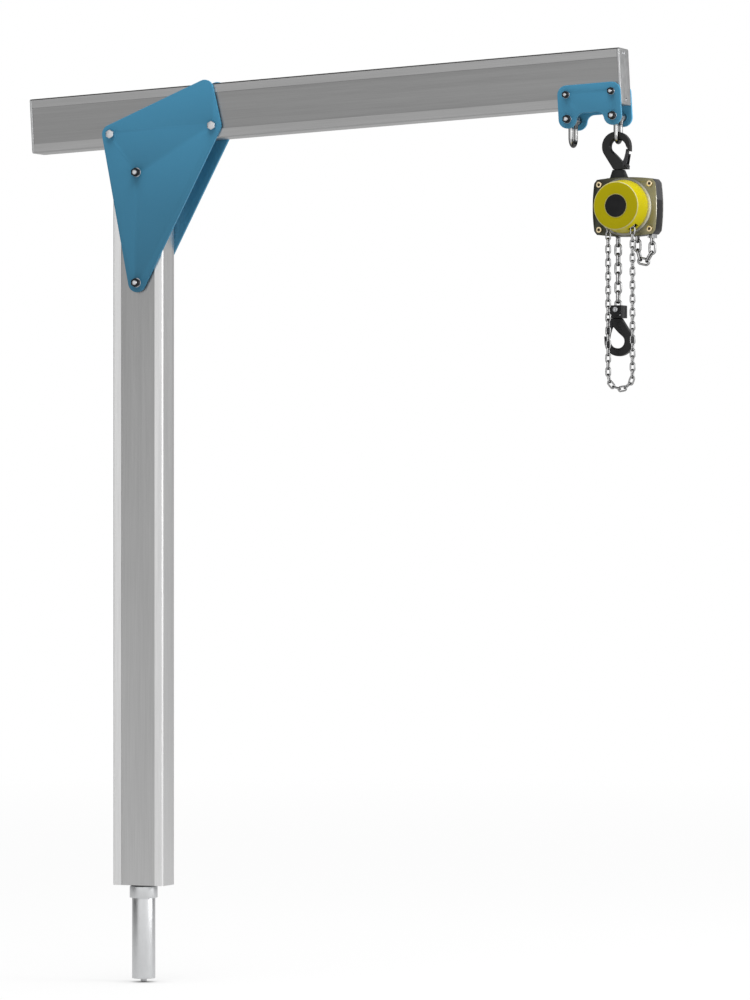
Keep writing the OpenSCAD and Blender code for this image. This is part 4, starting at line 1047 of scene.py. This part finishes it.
def make_link(inner_length, width, wire):
    """One link that lies along X, with its weld bead on the side towards Y."""
    bend = (width - wire) / 2
    straight = (inner_length + wire) / 2 - bend
    bead_wire_r = 0.6
    bead_sunk = 0.25
    bpy.ops.object.select_all(action="DESELECT")
    bpy.ops.mesh.primitive_torus_add(major_radius=bend * mm, minor_radius=wire / 2 * mm,
                                     major_segments=28, minor_segments=14)
    link = bpy.context.object
    for side in (-1, 1):
        bpy.ops.object.mode_set(mode="EDIT")
        bpy.ops.mesh.select_all(action="DESELECT")
        bpy.ops.object.mode_set(mode="OBJECT")
        for vert in link.data.vertices:
            vert.select = side * vert.co.x > 0.01 * mm
        bpy.ops.object.mode_set(mode="EDIT")
        bpy.ops.transform.translate(value=(side * straight * mm, 0, 0))
        bpy.ops.object.mode_set(mode="OBJECT")
    bpy.ops.mesh.primitive_torus_add(location=(0, bend * mm, 0), rotation=(0, math.pi / 2, 0),
                                     major_radius=(wire / 2 - bead_sunk) * mm,
                                     minor_radius=bead_wire_r * mm,
                                     major_segments=14, minor_segments=6)
    bead = bpy.context.object
    join(link, bead)
    settle()
    bpy.ops.object.shade_smooth()
    return link

link_for = {node: make_link(*sizes) for node, sizes in link_sizes.items()}
for node, link in link_for.items():
    print(node, "link faces:", len(link.data.polygons), "length:", round(link.dimensions.x / mm, 2), "mm")

# %% [markdown]
# A link's place and its turn are found from its points: the direction in which they
# spread most is its length, and the next one is its width. That is what a singular value
# decomposition gives, and it works for links that hang straight and in the loop alike.

# %% Tool for a link's place
def link_place(points):
    """A frame for one link: X along its length, Y across it and Z square to it."""
    centre = sum(points, Vector()) / len(points)
    spread = np.array([tuple(p - centre) for p in points])
    axes = np.linalg.svd(spread, full_matrices=False)[2]
    long = Vector(axes[0])
    wide = Vector(axes[1])
    if long.z < 0:
        long = -long
    if wide.x + wide.y > 0:
        wide = -wide
    return Matrix.Translation(centre) @ Matrix((long, wide, long.cross(wide))).transposed().to_4x4()

# %% [markdown]
# Each chain starts as copies of its link, one at each place. They are joined to one
# piece, and the link that was copied goes again.

# %% Lay the link along each chain
def chain(node, pattern):
    """A node's chain in one piece, made of copies of a pattern link."""
    copies = []
    for points in islands(node):
        select(pattern)
        bpy.ops.object.duplicate()
        link = bpy.context.object
        link.matrix_world = link_place(points)
        settle()
        copies.append(link)
    piece = join(*copies)
    piece.name = node + "_made"
    bpy.data.objects.remove(pattern)
    print(node, "links:", len(copies), "faces:", len(piece.data.polygons))
    return piece

for node, pattern in link_for.items():
    stands_for(chain(node, pattern), node)
